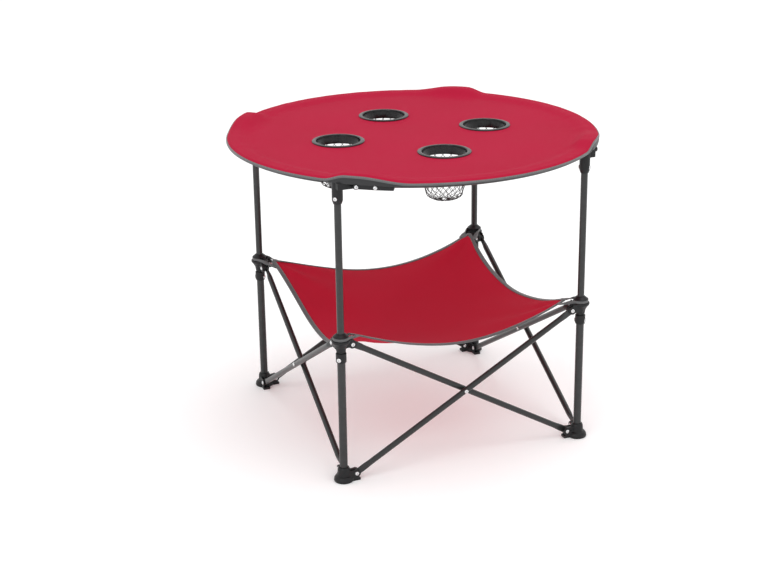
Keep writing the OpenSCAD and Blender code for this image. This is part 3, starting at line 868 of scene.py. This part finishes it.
def cloth_piece(name, points, normals, faces, thick, finish):
    """A closed sheet made of some faces of a surface, with the whole surface's normals."""
    used = sorted({i for f in faces for i in f})
    place = {v: i for i, v in enumerate(used)}
    n = len(used)
    top = points[used]
    under = top - normals[used] * thick
    upper = [tuple(place[i] for i in f) for f in faces]
    lower = [tuple(i + n for i in reversed(f)) for f in upper]
    edges = {(f[i], f[(i + 1) % len(f)]) for f in upper for i in range(len(f))}
    rim = [(b, a, a + n, b + n) for a, b in sorted(edges) if (b, a) not in edges]
    mesh = bpy.data.meshes.new(name)
    mesh.from_pydata(np.concatenate([top, under]).tolist(), [], upper + lower + rim)
    mesh.materials.append(finish)
    mesh.shade_smooth()
    both = np.concatenate([normals[used], -normals[used]])
    loops = [both[i] for f in upper + lower for i in f]
    everything = np.concatenate([top, under])
    for a, b, c, d in rim:
        face = unit(np.cross(everything[c] - everything[a], everything[d] - everything[b]))
        loops += [face] * 4
    mesh.normals_split_custom_set([tuple(v) for v in loops])
    return show(name, mesh)


def area_of(points, faces):
    """The area of a surface in square metres."""
    total = 0.0
    for f in faces:
        spokes = points[list(f[1:])] - points[f[0]]
        total += np.linalg.norm(np.cross(spokes[:-1], spokes[1:]), axis=1).sum() / 2
    return float(total)


def cut_round(points, faces, centre, radius):
    """Removes the faces inside a circle in plan and draws the edge that is left onto the circle."""
    offset = points[:, :2] - np.array(centre)
    distance = np.linalg.norm(offset, axis=1)
    kept = [f for f in faces if np.mean([distance[i] for i in f]) > radius]
    gone = {i for f in faces if np.mean([distance[i] for i in f]) <= radius for i in f}
    edge = sorted(gone & {i for f in kept for i in f})
    points[edge, :2] = np.array(centre) + offset[edge] / distance[edge, None] * radius
    return kept


# %% The surface of the top
top_low, top_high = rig.box("canvas_top")
OUT_R = top_high.x
TOP_Z = top_high.z
HEM_Z = top_low.z
DISH_Z = TOP_Z - 6 * MM
RIM_R = -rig.box("rim_tube_0")[0].y - 5 * MM
ARM_HALF = 7 * MM
SHOULDER_R = RIM_R - ARM_HALF - 4 * MM
SLOPE_R = SHOULDER_R - 26 * MM
ROLL = 7 * MM
ring_low, ring_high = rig.box("cup_ring_0")
RING_Y = (ring_low.y + ring_high.y) / 2
FLANGE_R = (ring_high.x - ring_low.x) / 2
CUP_R = FLANGE_R - 8 * MM
RING_TOP = ring_high.z
CUP_HOLE = CUP_R + 2.4 * MM
cup_centres = [tuple(spin((0, RING_Y, 0), k)[:2]) for k in range(4)]
CLOTH_T = 1.1 * MM
SPOKES = 288
PIVOT_ANGLE = math.asin((LEG - PIVOT_OUT) / RIM_R)
ARM_RISE = 10 * MM


def rise(angle):
    """How far the cloth stands up over the four arms, at an angle in radians from -Y."""
    deg = (np.degrees(angle) + 45) % 90 - 45
    deg = np.where(deg > 38, deg - 90, deg)
    pivot = -math.degrees(PIVOT_ANGLE)
    return ARM_RISE * smooth_step(pivot - 9, pivot - 2, deg) * (1 - smooth_step(pivot + 2, pivot + 17, deg))


def top_point(radius, angle, drop):
    """A point of the top: radius in plan, angle from -Y, and the drop below the rolled edge."""
    x, y = radius * math.sin(angle), -radius * math.cos(angle)
    height = DISH_Z + 1 * MM * min(radius / SLOPE_R, 1) ** 2
    height += (TOP_Z - DISH_Z - 1 * MM) * float(smooth_step(SLOPE_R, SHOULDER_R, radius)) - drop
    near_rim = float(smooth_step(SLOPE_R - 45 * MM, SHOULDER_R, radius))
    from_cup = min(math.hypot(x - cx, y - cy) for cx, cy in cup_centres)
    calm = 1 - math.exp(-((from_cup / (62 * MM)) ** 4))
    slow = noise.noise((x * 7, y * 7, 1.7)) * 1.5 * MM * calm * (1 - near_rim)
    pucker = 0.0
    for n, phase, size in ((37, 0.4, 0.28), (61, 1.9, 0.22), (89, 4.1, 0.12)):
        pucker += size * MM * math.sin(n * angle + phase)
    pucker *= 0.55 + 0.9 * noise.noise((math.cos(angle) * 3, math.sin(angle) * 3, 5.0))
    seat = 0.9 * MM * math.exp(-(((from_cup - 47 * MM) / (9 * MM)) ** 2))
    lift = float(rise(angle)) * float(smooth_step(SLOPE_R - 12 * MM, SHOULDER_R - 2 * MM, radius))
    hem_wave = pucker * near_rim * (1 - 0.5 * float(smooth_step(SHOULDER_R, OUT_R, radius)))
    return (x, y, height + slow + hem_wave + seat + lift)


# %% Rings of points from the middle to the hem
outline = [(r, 0.0) for r in np.linspace(4 * MM, SLOPE_R, 80)]
outline += [(r, 0.0) for r in np.linspace(SLOPE_R, SHOULDER_R, 12)[1:]]
outline += [(r, 0.0) for r in np.linspace(SHOULDER_R, OUT_R - ROLL, 5)[1:]]
outline += [
    (OUT_R - ROLL + ROLL * math.sin(t), ROLL * (1 - math.cos(t)))
    for t in np.linspace(0, math.pi / 2, 10)[1:]
]
SLOPE_RING = 79
angles = [2 * math.pi * i / SPOKES - math.pi / 4 for i in range(SPOKES)]
top_points = np.array([top_point(r, a, d) for r, d in outline for a in angles] + [top_point(0, 0, 0)])
centre_index = len(top_points) - 1
top_faces = [(centre_index, (i + 1) % SPOKES, i)[::-1] for i in range(SPOKES)]
for ring in range(len(outline) - 1):
    a, b = ring * SPOKES, (ring + 1) * SPOKES
    top_faces += [(a + i, b + i, b + (i + 1) % SPOKES, a + (i + 1) % SPOKES) for i in range(SPOKES)]
for centre in cup_centres:
    top_faces = cut_round(top_points, top_faces, centre, CUP_HOLE)
top_normals = vertex_normals(top_points, top_faces)
if top_normals[centre_index][2] < 0:
    top_normals = -top_normals
print(f"top: {len(top_faces)} faces, {area_of(top_points, top_faces):.3f} square metres")


# %% Cut the top into a band for each rim tube and four gores inside it
def spoke_of(face):
    """The spoke on which a face starts, counted from the start of side 0."""
    spokes = [i % SPOKES for i in face if i != centre_index]
    return min(spokes) if max(spokes) - min(spokes) < SPOKES / 2 else max(spokes)


def ring_of(face):
    """The innermost ring that a face touches, or -1 in the middle."""
    return -1 if centre_index in face else min(i // SPOKES for i in face)


GORES = 16
GORE_SPOKES = SPOKES // GORES
parts = {}
for face in top_faces:
    gore = spoke_of(face) // GORE_SPOKES
    key = ("band", gore // 4) if ring_of(face) >= SLOPE_RING else ("gore", gore)
    parts.setdefault(key, []).append(face)

GORE_ANGLE = 2 * math.pi / GORES
GATHER = 0.06
for (kind, number), faces in sorted(parts.items()):
    piece = cloth_piece(f"top_{kind}_{number:02d}", top_points, top_normals, faces, CLOTH_T, TOP_CANVAS)
    side = number if kind == "band" else number // 4
    dress(piece, f"rim_{side}", "crimson_canvas", "canvas_top")
    cloth_area = area_of(top_points, faces)
    if kind == "band":
        size = (0.056, 0.560)
    else:
        size = (round(2 * SLOPE_R * math.sin(GORE_ANGLE / 2), 3), round(SLOPE_R, 3))
        middle = (number + 0.5) * GORE_ANGLE - math.pi / 4
        axis = (math.sin(middle), -math.cos(middle), 0)
        anchor = tuple(c * SLOPE_R * 0.985 for c in axis[:2]) + (DISH_Z,)
        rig.squash(piece, "fold", axis=axis, anchor=anchor, keep=GATHER)
    share = min(max(cloth_area, 0.301 * size[0] * size[1]), size[0] * size[1])
    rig.sheet(piece, flat=size, held="stretched", rests_on=[f"rim_tube_{side}"], area=share)
print("top pieces:", len(parts))

# %% [markdown]
# ## Binding of the top
# A grey tape is folded over the hem and sewn on, and a thin black strip below it is painted shade of the
# hem's underside. The tape is an outline swept round the hem. Where the hem rises over an arm, the
# strip widens into a black patch, painted shade that fills the gap under the lifted hem. The seam is a row of real
# stitches, because a bump alone would vanish at the silhouette.

# %% Tape, piping and stitches
STITCH = 4.2 * MM


def stitches(shape, path, out, kind, length=2.7 * MM, radius=0.38 * MM):
    """A row of stitches along a path; out is the direction away from the cloth at each point."""
    path, out = np.asarray(path, float), unit(out)
    steps = np.linalg.norm(np.diff(path, axis=0), axis=1)
    run = np.concatenate([[0], np.cumsum(steps)])
    for at in np.arange(STITCH / 2, run[-1] - STITCH / 2, STITCH):
        spots = (at - length / 2, at + length / 2)
        ends = [np.array([np.interp(d, run, path[:, c]) for c in range(3)]) for d in spots]
        up = unit([np.interp(at, run, out[:, c]) for c in range(3)])
        along = unit(ends[1] - ends[0])
        side = np.cross(along, up)
        rings = []
        for share, size in ((0.0, 0.35), (0.12, 0.85), (0.5, 1.0), (0.88, 0.85), (1.0, 0.35)):
            middle = ends[0] + (ends[1] - ends[0]) * share + up * radius * 0.45 * (size - 0.4)
            rings.append([
                middle + side * radius * size * math.cos(a) + up * radius * size * math.sin(a)
                for a in np.arange(6) * math.pi / 3
            ])
        shape.add(loft(rings), kind)


# (outward from the hem's face, height over the hem's lower edge), with the black strip of painted shade last
TAPE = [
    (-1.9, 4.3), (-1.2, 4.6), (-0.2, 4.0), (0.7, 2.8), (0.95, 1.4), (0.95, 0.5),
    (0.2, 0.3), (-1.2, 0.3), (-2.0, 0.6), (-2.4, 3.0),
]
HEM_SHADE_STRIP = [(0.75 * math.cos(t) - 0.2, 0.75 * math.sin(t) - 0.15) for t in np.arange(8) * math.pi / 4]
for k in range(4):
    shape = Shape()
    seam_path, seam_out = [], []
    arcs = np.radians(np.linspace(-45, 45, 73)) + k * math.pi / 2
    for kind, section in ((0, TAPE), (1, HEM_SHADE_STRIP)):
        rings = []
        for a in arcs:
            spoke = np.array([math.sin(a), -math.cos(a), 0])
            base = spoke * OUT_R + np.array([0, 0, HEM_Z + float(rise(a))])
            # painted shade: over an arm the black strip's lower half drops by the hem's rise, a black fill in the
            # shaded gap under the lifted hem
            patch = float(rise(a)) if kind == 1 else 0.0
            rings.append([
                base + spoke * x * MM + np.array([0, 0, z * MM - (patch if z < -0.2 else 0.0)])
                for x, z in section
            ])
            if kind == 0:
                seam_path.append(base + spoke * 0.4 * MM + np.array([0, 0, 3.4 * MM]))
                seam_out.append(spoke + np.array([0, 0, 0.45]))
        shape.add(loft([r[::-1] for r in rings]), kind)
    stitches(shape, seam_path, seam_out, 2)
    piece = show(f"hem_binding_{k}", shape.mesh(f"hem_binding_{k}", [GREY_BINDING, BLACK_TAPE_AND_HEM_SHADE, THREAD], 60))
    dress(piece, f"rim_{k}", "crimson_canvas", "canvas_top")
print("hem binding: 4 lengths")

# %% [markdown]
# ## Cup holders
# A black ring is pressed into each hole of the top. Its wide flange lies on the cloth, and its wall
# goes down inside. Under it hangs a net pocket, knotted from thin cord in diamonds: two families of
# cords that wind opposite ways down a sagging cup. Real cords cast the right shadows and let the
# light through, where a flat sheet with holes painted on would look like paper.

# %% Rings
wall_low = ring_low.z
ring_outline = [
    (CUP_R, wall_low + 0.5 * MM), (CUP_R + 0.5 * MM, wall_low), (CUP_R + 1.3 * MM, wall_low),
    (CUP_R + 1.8 * MM, wall_low + 0.6 * MM), (CUP_R + 1.8 * MM, RING_TOP - 2.2 * MM),
    (CUP_R + 2.4 * MM, RING_TOP - 1.9 * MM), (FLANGE_R - 0.5 * MM, RING_TOP - 2.0 * MM),
    (FLANGE_R, RING_TOP - 1.5 * MM), (FLANGE_R - 0.1 * MM, RING_TOP - 0.9 * MM),
    (FLANGE_R - 0.9 * MM, RING_TOP - 0.35 * MM), (FLANGE_R - 2.4 * MM, RING_TOP - 0.15 * MM),
    (CUP_R + 3.0 * MM, RING_TOP + 0.25 * MM), (CUP_R + 1.6 * MM, RING_TOP + 0.2 * MM),
    (CUP_R + 0.5 * MM, RING_TOP - 0.25 * MM), (CUP_R + 0.05 * MM, RING_TOP - 1.1 * MM),
    (CUP_R, RING_TOP - 2.5 * MM),
]
ring_mesh = Shape().add(lathe(ring_outline, (0, RING_Y), 112)).mesh("cup_ring", [RING_PLASTIC], 60)
for k in range(4):
    dress(turned(ring_mesh, f"turned_cup_ring_{k}", k), f"cup_{k}", "ring_plastic", f"cup_ring_{k}")

# %% Net pockets
net_low, net_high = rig.box("mesh_pockets")
NET_TOP = net_high.z - 0.3 * MM
NET_R = CUP_R + 2.9 * MM
NET_BOTTOM = net_low.z
BOTTOM_R = 33 * MM
TAPE_DROP = 8 * MM
CORDS = 18
CORD_R = 0.5 * MM


def net_outline(t):
    """Radius and height of the pocket from its tape (0) to the middle of its bottom (1)."""
    side = 0.70
    if t < side:
        s = t / side
        radius = NET_R + (BOTTOM_R - NET_R) * s**1.5
        return radius, NET_TOP - TAPE_DROP + 1 * MM + (NET_BOTTOM + 8 * MM - NET_TOP + TAPE_DROP) * s
    s = (t - side) / (1 - side)
    bend = math.sin(s * math.pi / 2)
    return BOTTOM_R * (1 - s) + 2 * MM * s, NET_BOTTOM + 0.6 * MM + 8.4 * MM * (1 - bend) ** 1.6


def cord_tube(path, radius, sides=5):
    """A thin cord along a path."""
    path = np.asarray(path, float)
    along = unit(np.gradient(path, axis=0))
    side = unit(np.cross(along, (0.01, 0.02, 1.0)))
    up = np.cross(side, along)
    a = np.arange(sides) * 2 * math.pi / sides
    section = np.stack([np.cos(a), np.sin(a)], 1) * radius
    return sweep(path, side, up, [section] * len(path))


pocket = Shape()
for turn in (1, -1):
    for n in range(CORDS):
        path = []
        for t in np.linspace(0, 0.97, 30):
            radius, z = net_outline(t)
            a = 2 * math.pi * n / CORDS + turn * 2.35 * t
            sag = 1.1 * MM * noise.noise((math.cos(a) * 2.2, math.sin(a) * 2.2, t * 4))
            radius += sag + turn * 0.25 * MM
            path.append((radius * math.cos(a), RING_Y + radius * math.sin(a), z))
        pocket.add(cord_tube(path, CORD_R))
net_mesh = pocket.mesh("net_pocket", [NET], 80)

tape = Shape()
tape.add(lathe([
    (NET_R - 0.5 * MM, NET_TOP - TAPE_DROP), (NET_R + 0.9 * MM, NET_TOP - TAPE_DROP),
    (NET_R + 1.0 * MM, NET_TOP - 1 * MM), (NET_R + 0.8 * MM, NET_TOP), (NET_R - 0.4 * MM, NET_TOP),
], (0, RING_Y), 72))
tape_mesh = tape.mesh("net_tape", [BLACK_TAPE_AND_HEM_SHADE], 50)
for k in range(4):
    net = turned(net_mesh, f"net_pocket_{k}", k)
    band = turned(tape_mesh, f"net_tape_{k}", k)
    for piece in (net, band):
        dress(piece, f"cup_{k}", "pocket_net", "mesh_pockets")
    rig.sheet(
        band, flat=(0.013, round(2 * math.pi * NET_R, 3)), held="hung",
        rests_on=[f"top_gore_{4 * k + 1:02d}"], with_pieces=[net],
    )
print(f"net pockets: {2 * CORDS} cords each")

# %% [markdown]
# ## Shelf
# The shelf is a square of the same canvas hung by its four corners, so its edges sag and pull in.
# Each corner is cut away round the upright. The sag is a formula, and folds of a few millimetres
# run out of the corners, where the cloth is pulled. It is cut into eight pieces, a pair to each
# side, that ride on the cross tubes and fold down inside the bundle.

# %% The surface of the shelf
SHELF_HALF = LEG - 18 * MM
EDGE_SAGS = (60 * MM, 48 * MM, 46 * MM, 72 * MM)
MIDDLE_DROP = 78 * MM
EDGE_PULL = 13 * MM
SHELF_T = 1.0 * MM
CORNER_CUT = 31 * MM
GRID = 96


def shelf_point(s, t):
    """A point of the shelf; s and t run from -1 to 1 over its width and depth."""
    s, t = max(-1.0, min(1.0, s)), max(-1.0, min(1.0, t))
    x = s * (SHELF_HALF - EDGE_PULL * (1 - t * t))
    y = t * (SHELF_HALF - EDGE_PULL * (1 - s * s))
    front, right, rear, left = EDGE_SAGS
    drop = ((1 - t) * front * (1 + 0.15 * s) + (1 + t) * rear * (1 + 0.2 * s)) / 2 * (1 - s * s) ** 1.15
    drop += ((1 + s) * right + (1 - s) * left * (1 - 0.4 * t)) / 2 * (1 - t * t) ** 1.15
    z = STRAP_Z - drop + (sum(EDGE_SAGS) / 2 - MIDDLE_DROP) * (1 - s * s) * (1 - t * t)
    ripple = 0.0
    for cs, ct in ((-1, -1), (1, -1), (1, 1), (-1, 1)):
        reach = math.hypot(s - cs, t - ct)
        bearing = math.atan2(t - ct, s - cs)
        fade = smooth_step(0.0, 0.25, reach) * math.exp(-((reach / 0.75) ** 2))
        ripple += 1.7 * MM * fade * math.sin(9 * bearing + 2.1 * cs - ct)
    soft = 2.2 * MM * noise.noise((s * 2.1 + 3, t * 2.1, 0.3)) * (1 - (s * t) ** 2)
    return (x, y, z + float(ripple) + soft)


def shelf_frame(s, t):
    """The point, the upward normal and the two directions along s and t."""
    h = 0.004
    p = np.array(shelf_point(s, t))
    ds = np.array(shelf_point(s + h, t)) - np.array(shelf_point(s - h, t))
    dt = np.array(shelf_point(s, t + h)) - np.array(shelf_point(s, t - h))
    return p, unit(np.cross(ds, dt)), unit(ds), unit(dt)


steps = np.linspace(-1, 1, GRID + 1)
shelf_points = np.array([shelf_point(s, t) for s in steps for t in steps])
shelf_faces = []
for i in range(GRID):
    for j in range(GRID):
        a = i * (GRID + 1) + j
        b, c, d = a + GRID + 1, a + GRID + 2, a + 1
        if i == j:
            shelf_faces += [(a, b, c), (a, c, d)]
        elif i + j == GRID - 1:
            shelf_faces += [(a, b, d), (b, c, d)]
        else:
            shelf_faces.append((a, b, c, d))
leg_points = [tuple(spin((-LEG, -LEG, 0), k)[:2]) for k in range(4)]
for centre in leg_points:
    shelf_faces = cut_round(shelf_points, shelf_faces, centre, CORNER_CUT)
shelf_normals = vertex_normals(shelf_points, shelf_faces)
print(f"shelf: {len(shelf_faces)} faces, {area_of(shelf_points, shelf_faces):.3f} square metres")


# %% Cut the shelf into a pair of pieces for each side
def shelf_part(face):
    """The side of the shelf that a face belongs to, and whether it lies by that side's first corner."""
    s, t = np.mean([divmod(i, GRID + 1) for i in face], 0) * 2 / GRID - 1
    for side in range(4):
        if -t > abs(s):
            break
        s, t = t, -s
    return side, s < 0


parts = {}
for face in shelf_faces:
    parts.setdefault(shelf_part(face), []).append(face)
SHELF_GATHER = 0.12


def hang_shelf_piece(piece, side, first):
    """Lets a piece of the shelf ride on the tube that hangs from its corner and gather to its side."""
    dress(piece, f"inner_tube_{side}" if first else f"outer_tube_{side}", "shelf_canvas", "canvas_shelf")
    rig.squash(
        piece, "fold", axis=tuple(spin((0, -1, 0), side)),
        anchor=tuple(spin((0, -SHELF_HALF + 6 * MM, 0), side)), keep=SHELF_GATHER,
    )


for (side, first), faces in sorted(parts.items()):
    name = f"shelf_panel_{side}_{'a' if first else 'b'}"
    piece = cloth_piece(name, shelf_points, shelf_normals, faces, SHELF_T, SHELF_CANVAS_PAINTED_LIGHTER)
    hang_shelf_piece(piece, side, first)
    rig.sheet(
        piece, flat=(0.235, 0.235), held="hung", rests_on=[f"hub_{CORNERS[side]}"],
        area=min(area_of(shelf_points, faces), 0.235 * 0.235),
    )
print("shelf pieces:", len(parts))

# %% [markdown]
# ## Binding and straps of the shelf
# Grey tape binds the shelf's edges and the cut corners. At each corner the same webbing leaves the
# edge, twists upright, goes round the outside of the hub in its groove and comes back to the next
# edge, and so it carries the shelf.

# %% Edge paths
TAPE_W = 9 * MM
TAPE_T = 2.7 * MM


def corner_distance(point):
    """Distance in plan from the front upright."""
    return math.hypot(point[0] + LEG, point[1] + LEG)


def plan_to_shelf(x, y):
    """The s and t of the shelf's point above a place in plan."""
    s, t = x / SHELF_HALF, y / SHELF_HALF
    for _ in range(30):
        s, t = x / (SHELF_HALF - EDGE_PULL * (1 - t * t)), y / (SHELF_HALF - EDGE_PULL * (1 - s * s))
    return s, t


edge_s = [s for s in np.linspace(-1, 0, 400) if corner_distance(shelf_point(s, -1)) > CORNER_CUT]
START_S = edge_s[0]


def tape_along(shape, frames, seam=True):
    """Folded tape along frames of (point, normal, outward), and its seam on top."""
    points = np.array([f[0] for f in frames])
    normals, outs = np.array([f[1] for f in frames]), unit([f[2] for f in frames])
    middle = points - normals * SHELF_T / 2 - outs * (TAPE_W / 2 - 1.2 * MM)
    section = round_section(TAPE_W, TAPE_T, 16, 3.5)
    shape.add(sweep(middle, outs, normals, [section] * len(points)), 0)
    if seam:
        for sign in (1, -1):
            row = middle - outs * (TAPE_W / 2 - 1.9 * MM) + normals * sign * (TAPE_T / 2 - 0.15 * MM)
            stitches(shape, row, normals * sign, 1)


def edge_frames(side, first):
    """Frames along half an edge, from its corner to its middle."""
    frames = []
    for s in np.linspace(START_S, 0, 60):
        s_k = s if first else -s
        s_t = spin((s_k, -1, 0), side)
        p, up, ds, dt = shelf_frame(s_t[0], s_t[1])
        ahead, _, _, _ = shelf_frame(*spin((s_k + (0.004 if first else -0.004), -1, 0), side)[:2])
        along = unit(ahead - p)
        out = np.cross(along, up) if first else np.cross(up, along)
        frames.append((p, up, out))
    return frames


def corner_frames(side, first):
    """Frames along half of the cut corner, from the edge to the corner's diagonal."""
    leg = np.array(leg_points[side if first else (side + 1) % 4])
    inward = unit(-leg)
    start = np.array(edge_frames(side, first)[0][0][:2]) - leg
    spread = math.atan2(inward[0] * start[1] - inward[1] * start[0], inward @ start)
    frames = []
    for a in np.linspace(spread, 0, 14):
        spoke = np.array([
            inward[0] * math.cos(a) - inward[1] * math.sin(a),
            inward[0] * math.sin(a) + inward[1] * math.cos(a),
        ])
        p, up, _, _ = shelf_frame(*plan_to_shelf(*(leg + spoke * CORNER_CUT)))
        out = np.array([-spoke[0], -spoke[1], 0])
        out = unit(out - up * (out @ up))
        frames.append((p, up, out))
    return frames


# %% Bind the shelf
for side in range(4):
    for first in (True, False):
        shape = Shape()
        tape_along(shape, edge_frames(side, first))
        tape_along(shape, corner_frames(side, first))
        name = f"shelf_binding_{side}_{'a' if first else 'b'}"
        piece = show(name, shape.mesh(name, [GREY_BINDING, THREAD], 60))
        hang_shelf_piece(piece, side, first)

# %% Straps round the hubs
STRAP_T = 1.5 * MM
STRAP_W = STRAP_GROOVE - 0.5 * MM
STRAP_R = GROOVE_R + STRAP_T / 2 + 0.3 * MM
strap_end = next(s for s in edge_s if corner_distance(shelf_point(s, -1)) > CORNER_CUT + 14 * MM)
end_point = shelf_frame(strap_end, -1)[0]
end_plan = end_point[:2] - leg_axis
end_distance = float(np.linalg.norm(end_plan))
bearing = math.atan2(end_plan[1], end_plan[0])
touch = bearing - math.acos(STRAP_R / end_distance)
half_path = []
touch_point = leg_axis + STRAP_R * np.array([math.cos(touch), math.sin(touch)])
for t in np.linspace(0, 1, 22)[:-1]:
    plan = end_point[:2] * (1 - t) + touch_point * t
    z = end_point[2] + (STRAP_Z - end_point[2]) * float(smooth_step(0, 0.92, t))
    half_path.append((*plan, z, 1 - float(smooth_step(0.25, 0.8, t))))
outer_angle = math.radians(-135)
for a in np.linspace(touch, outer_angle, 14):
    plan = leg_axis + STRAP_R * np.array([math.cos(a), math.sin(a)])
    half_path.append((*plan, STRAP_Z, 0.0))
mirrored = [(y, x, z, w) for x, y, z, w in reversed(half_path[:-1])]
strap_path = np.array(half_path + mirrored)
points = strap_path[:, :3]
along = unit(np.gradient(points, axis=0))
flat_share = strap_path[:, 3:]
level = unit(np.cross(along, (0, 0, 1)))
upright = unit(np.cross(level, along))
wide = unit(upright * (1 - flat_share) + level * flat_share)
thin = unit(np.cross(wide, along))
sections = [
    round_section(STRAP_W + (TAPE_W - STRAP_W) * w, STRAP_T + 1.0 * MM * w, 16, 3.5)
    for w in flat_share[:, 0]
]
strap = Shape().add(sweep(points, wide, thin, sections), 0)
strap_mesh = strap.mesh("strap", [GREY_BINDING], 60)
strap_length = float(np.sum(np.linalg.norm(np.diff(points, axis=0), axis=1)))
for k, corner in enumerate(CORNERS):
    piece = turned(strap_mesh, f"hub_strap_{corner}", k)
    dress(piece, f"hub_{corner}", "shelf_canvas", "canvas_shelf")
    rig.sheet(
        piece, flat=(0.010, round(strap_length, 3)), held="hung", area=0.75 * 0.010 * strap_length,
        rests_on=[f"moulded_hub_{corner}"],
    )
print(f"straps: {strap_length * 1000:.0f} mm each")

# %% [markdown]
# ## Studio
# A pale floor that runs to the horizon, a bright even sky for fill, one large soft light above and
# a smaller one from the front left. The camera stands a little above the top, at a long focal
# length, so the round top reads as a flat oval.

# %% Floor and light
bpy.ops.mesh.primitive_plane_add(size=30, location=(0, 0, 0))
floor = bpy.context.object
floor.name = "studio_floor"
floor_finish, floor_tree, floor_shader = new_material(
    "pale studio floor", Roughness=0.85, Specular_IOR_Level=0.05,
    Emission_Color=(1, 1, 1, 1), Emission_Strength=0.1,
)
floor_shade = use_group(floor_tree, SHADE, Patches_per_metre=0.6, Fine_per_metre=40.0).outputs["Shade"]
floor_colour = add_node(
    floor_tree, "ShaderNodeMix",
    {0: floor_shade, 6: (0.92, 0.92, 0.92, 1), 7: (0.95, 0.95, 0.95, 1)}, data_type="RGBA",
).outputs[2]
floor_tree.links.new(floor_colour, floor_shader.inputs["Base Color"])
floor.data.materials.append(floor_finish)
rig.stage(floor)

world = bpy.data.worlds.new("studio")
bpy.context.scene.world = world
world.use_nodes = True
world.node_tree.nodes["Background"].inputs["Color"].default_value = (1, 1, 1, 1)
world.node_tree.nodes["Background"].inputs["Strength"].default_value = 1.0


def aim(item, place, target, roll=0.0):
    """Puts a lamp or camera at a place, facing a target, rolled by an angle about its own line."""
    back = unit(np.array(place, float) - np.array(target, float))
    side = unit(np.cross((0, 0, 1), back))
    up = np.cross(back, side)
    c, s = math.cos(roll), math.sin(roll)
    columns = np.stack([side * c + up * s, up * c - side * s, back, place], 1)
    item.matrix_world = Matrix([*columns.tolist(), (0, 0, 0, 1)])


def soft_light(name, place, target, size, power):
    """A square area light that faces a point."""
    data = bpy.data.lights.new(name, "AREA")
    data.energy = power
    data.size = size
    aim(show(name, data), place, target)


soft_light("overhead softbox", (0.5, -0.4, 3.0), (0, 0, 0.3), 2.4, 26)
soft_light("front left softbox", (-2.6, -2.2, 1.7), (0, 0, 0.35), 1.4, 16)

# %% Camera
EYE_DISTANCE = 3.145
EYE_HEIGHT = math.radians(19.37)
EYE_TURN = math.radians(-22.45)
EYE_ROLL = math.radians(-0.42)
LOOK_AT = np.array([0, 0, 0.297])
back = np.array([
    math.sin(EYE_TURN) * math.cos(EYE_HEIGHT),
    -math.cos(EYE_TURN) * math.cos(EYE_HEIGHT),
    math.sin(EYE_HEIGHT),
])
camera_data = bpy.data.cameras.new("table camera")
camera_data.sensor_width = 36
camera_data.lens = 74.5
camera_data.shift_x = -0.0387
camera_data.shift_y = -0.0214
camera = show("table camera", camera_data)
aim(camera, LOOK_AT + back * EYE_DISTANCE, LOOK_AT, EYE_ROLL)
bpy.context.scene.camera = camera
bpy.context.scene.view_settings.view_transform = "Standard"
bpy.context.scene.view_settings.look = "None"

# %% Sizes
json.dump(
    {"cad": [list(v) for v in cad_bounds], "visual": [list(v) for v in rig.bounds()]},
    open("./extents.json", "w"),
)
print("size:", open("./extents.json").read())
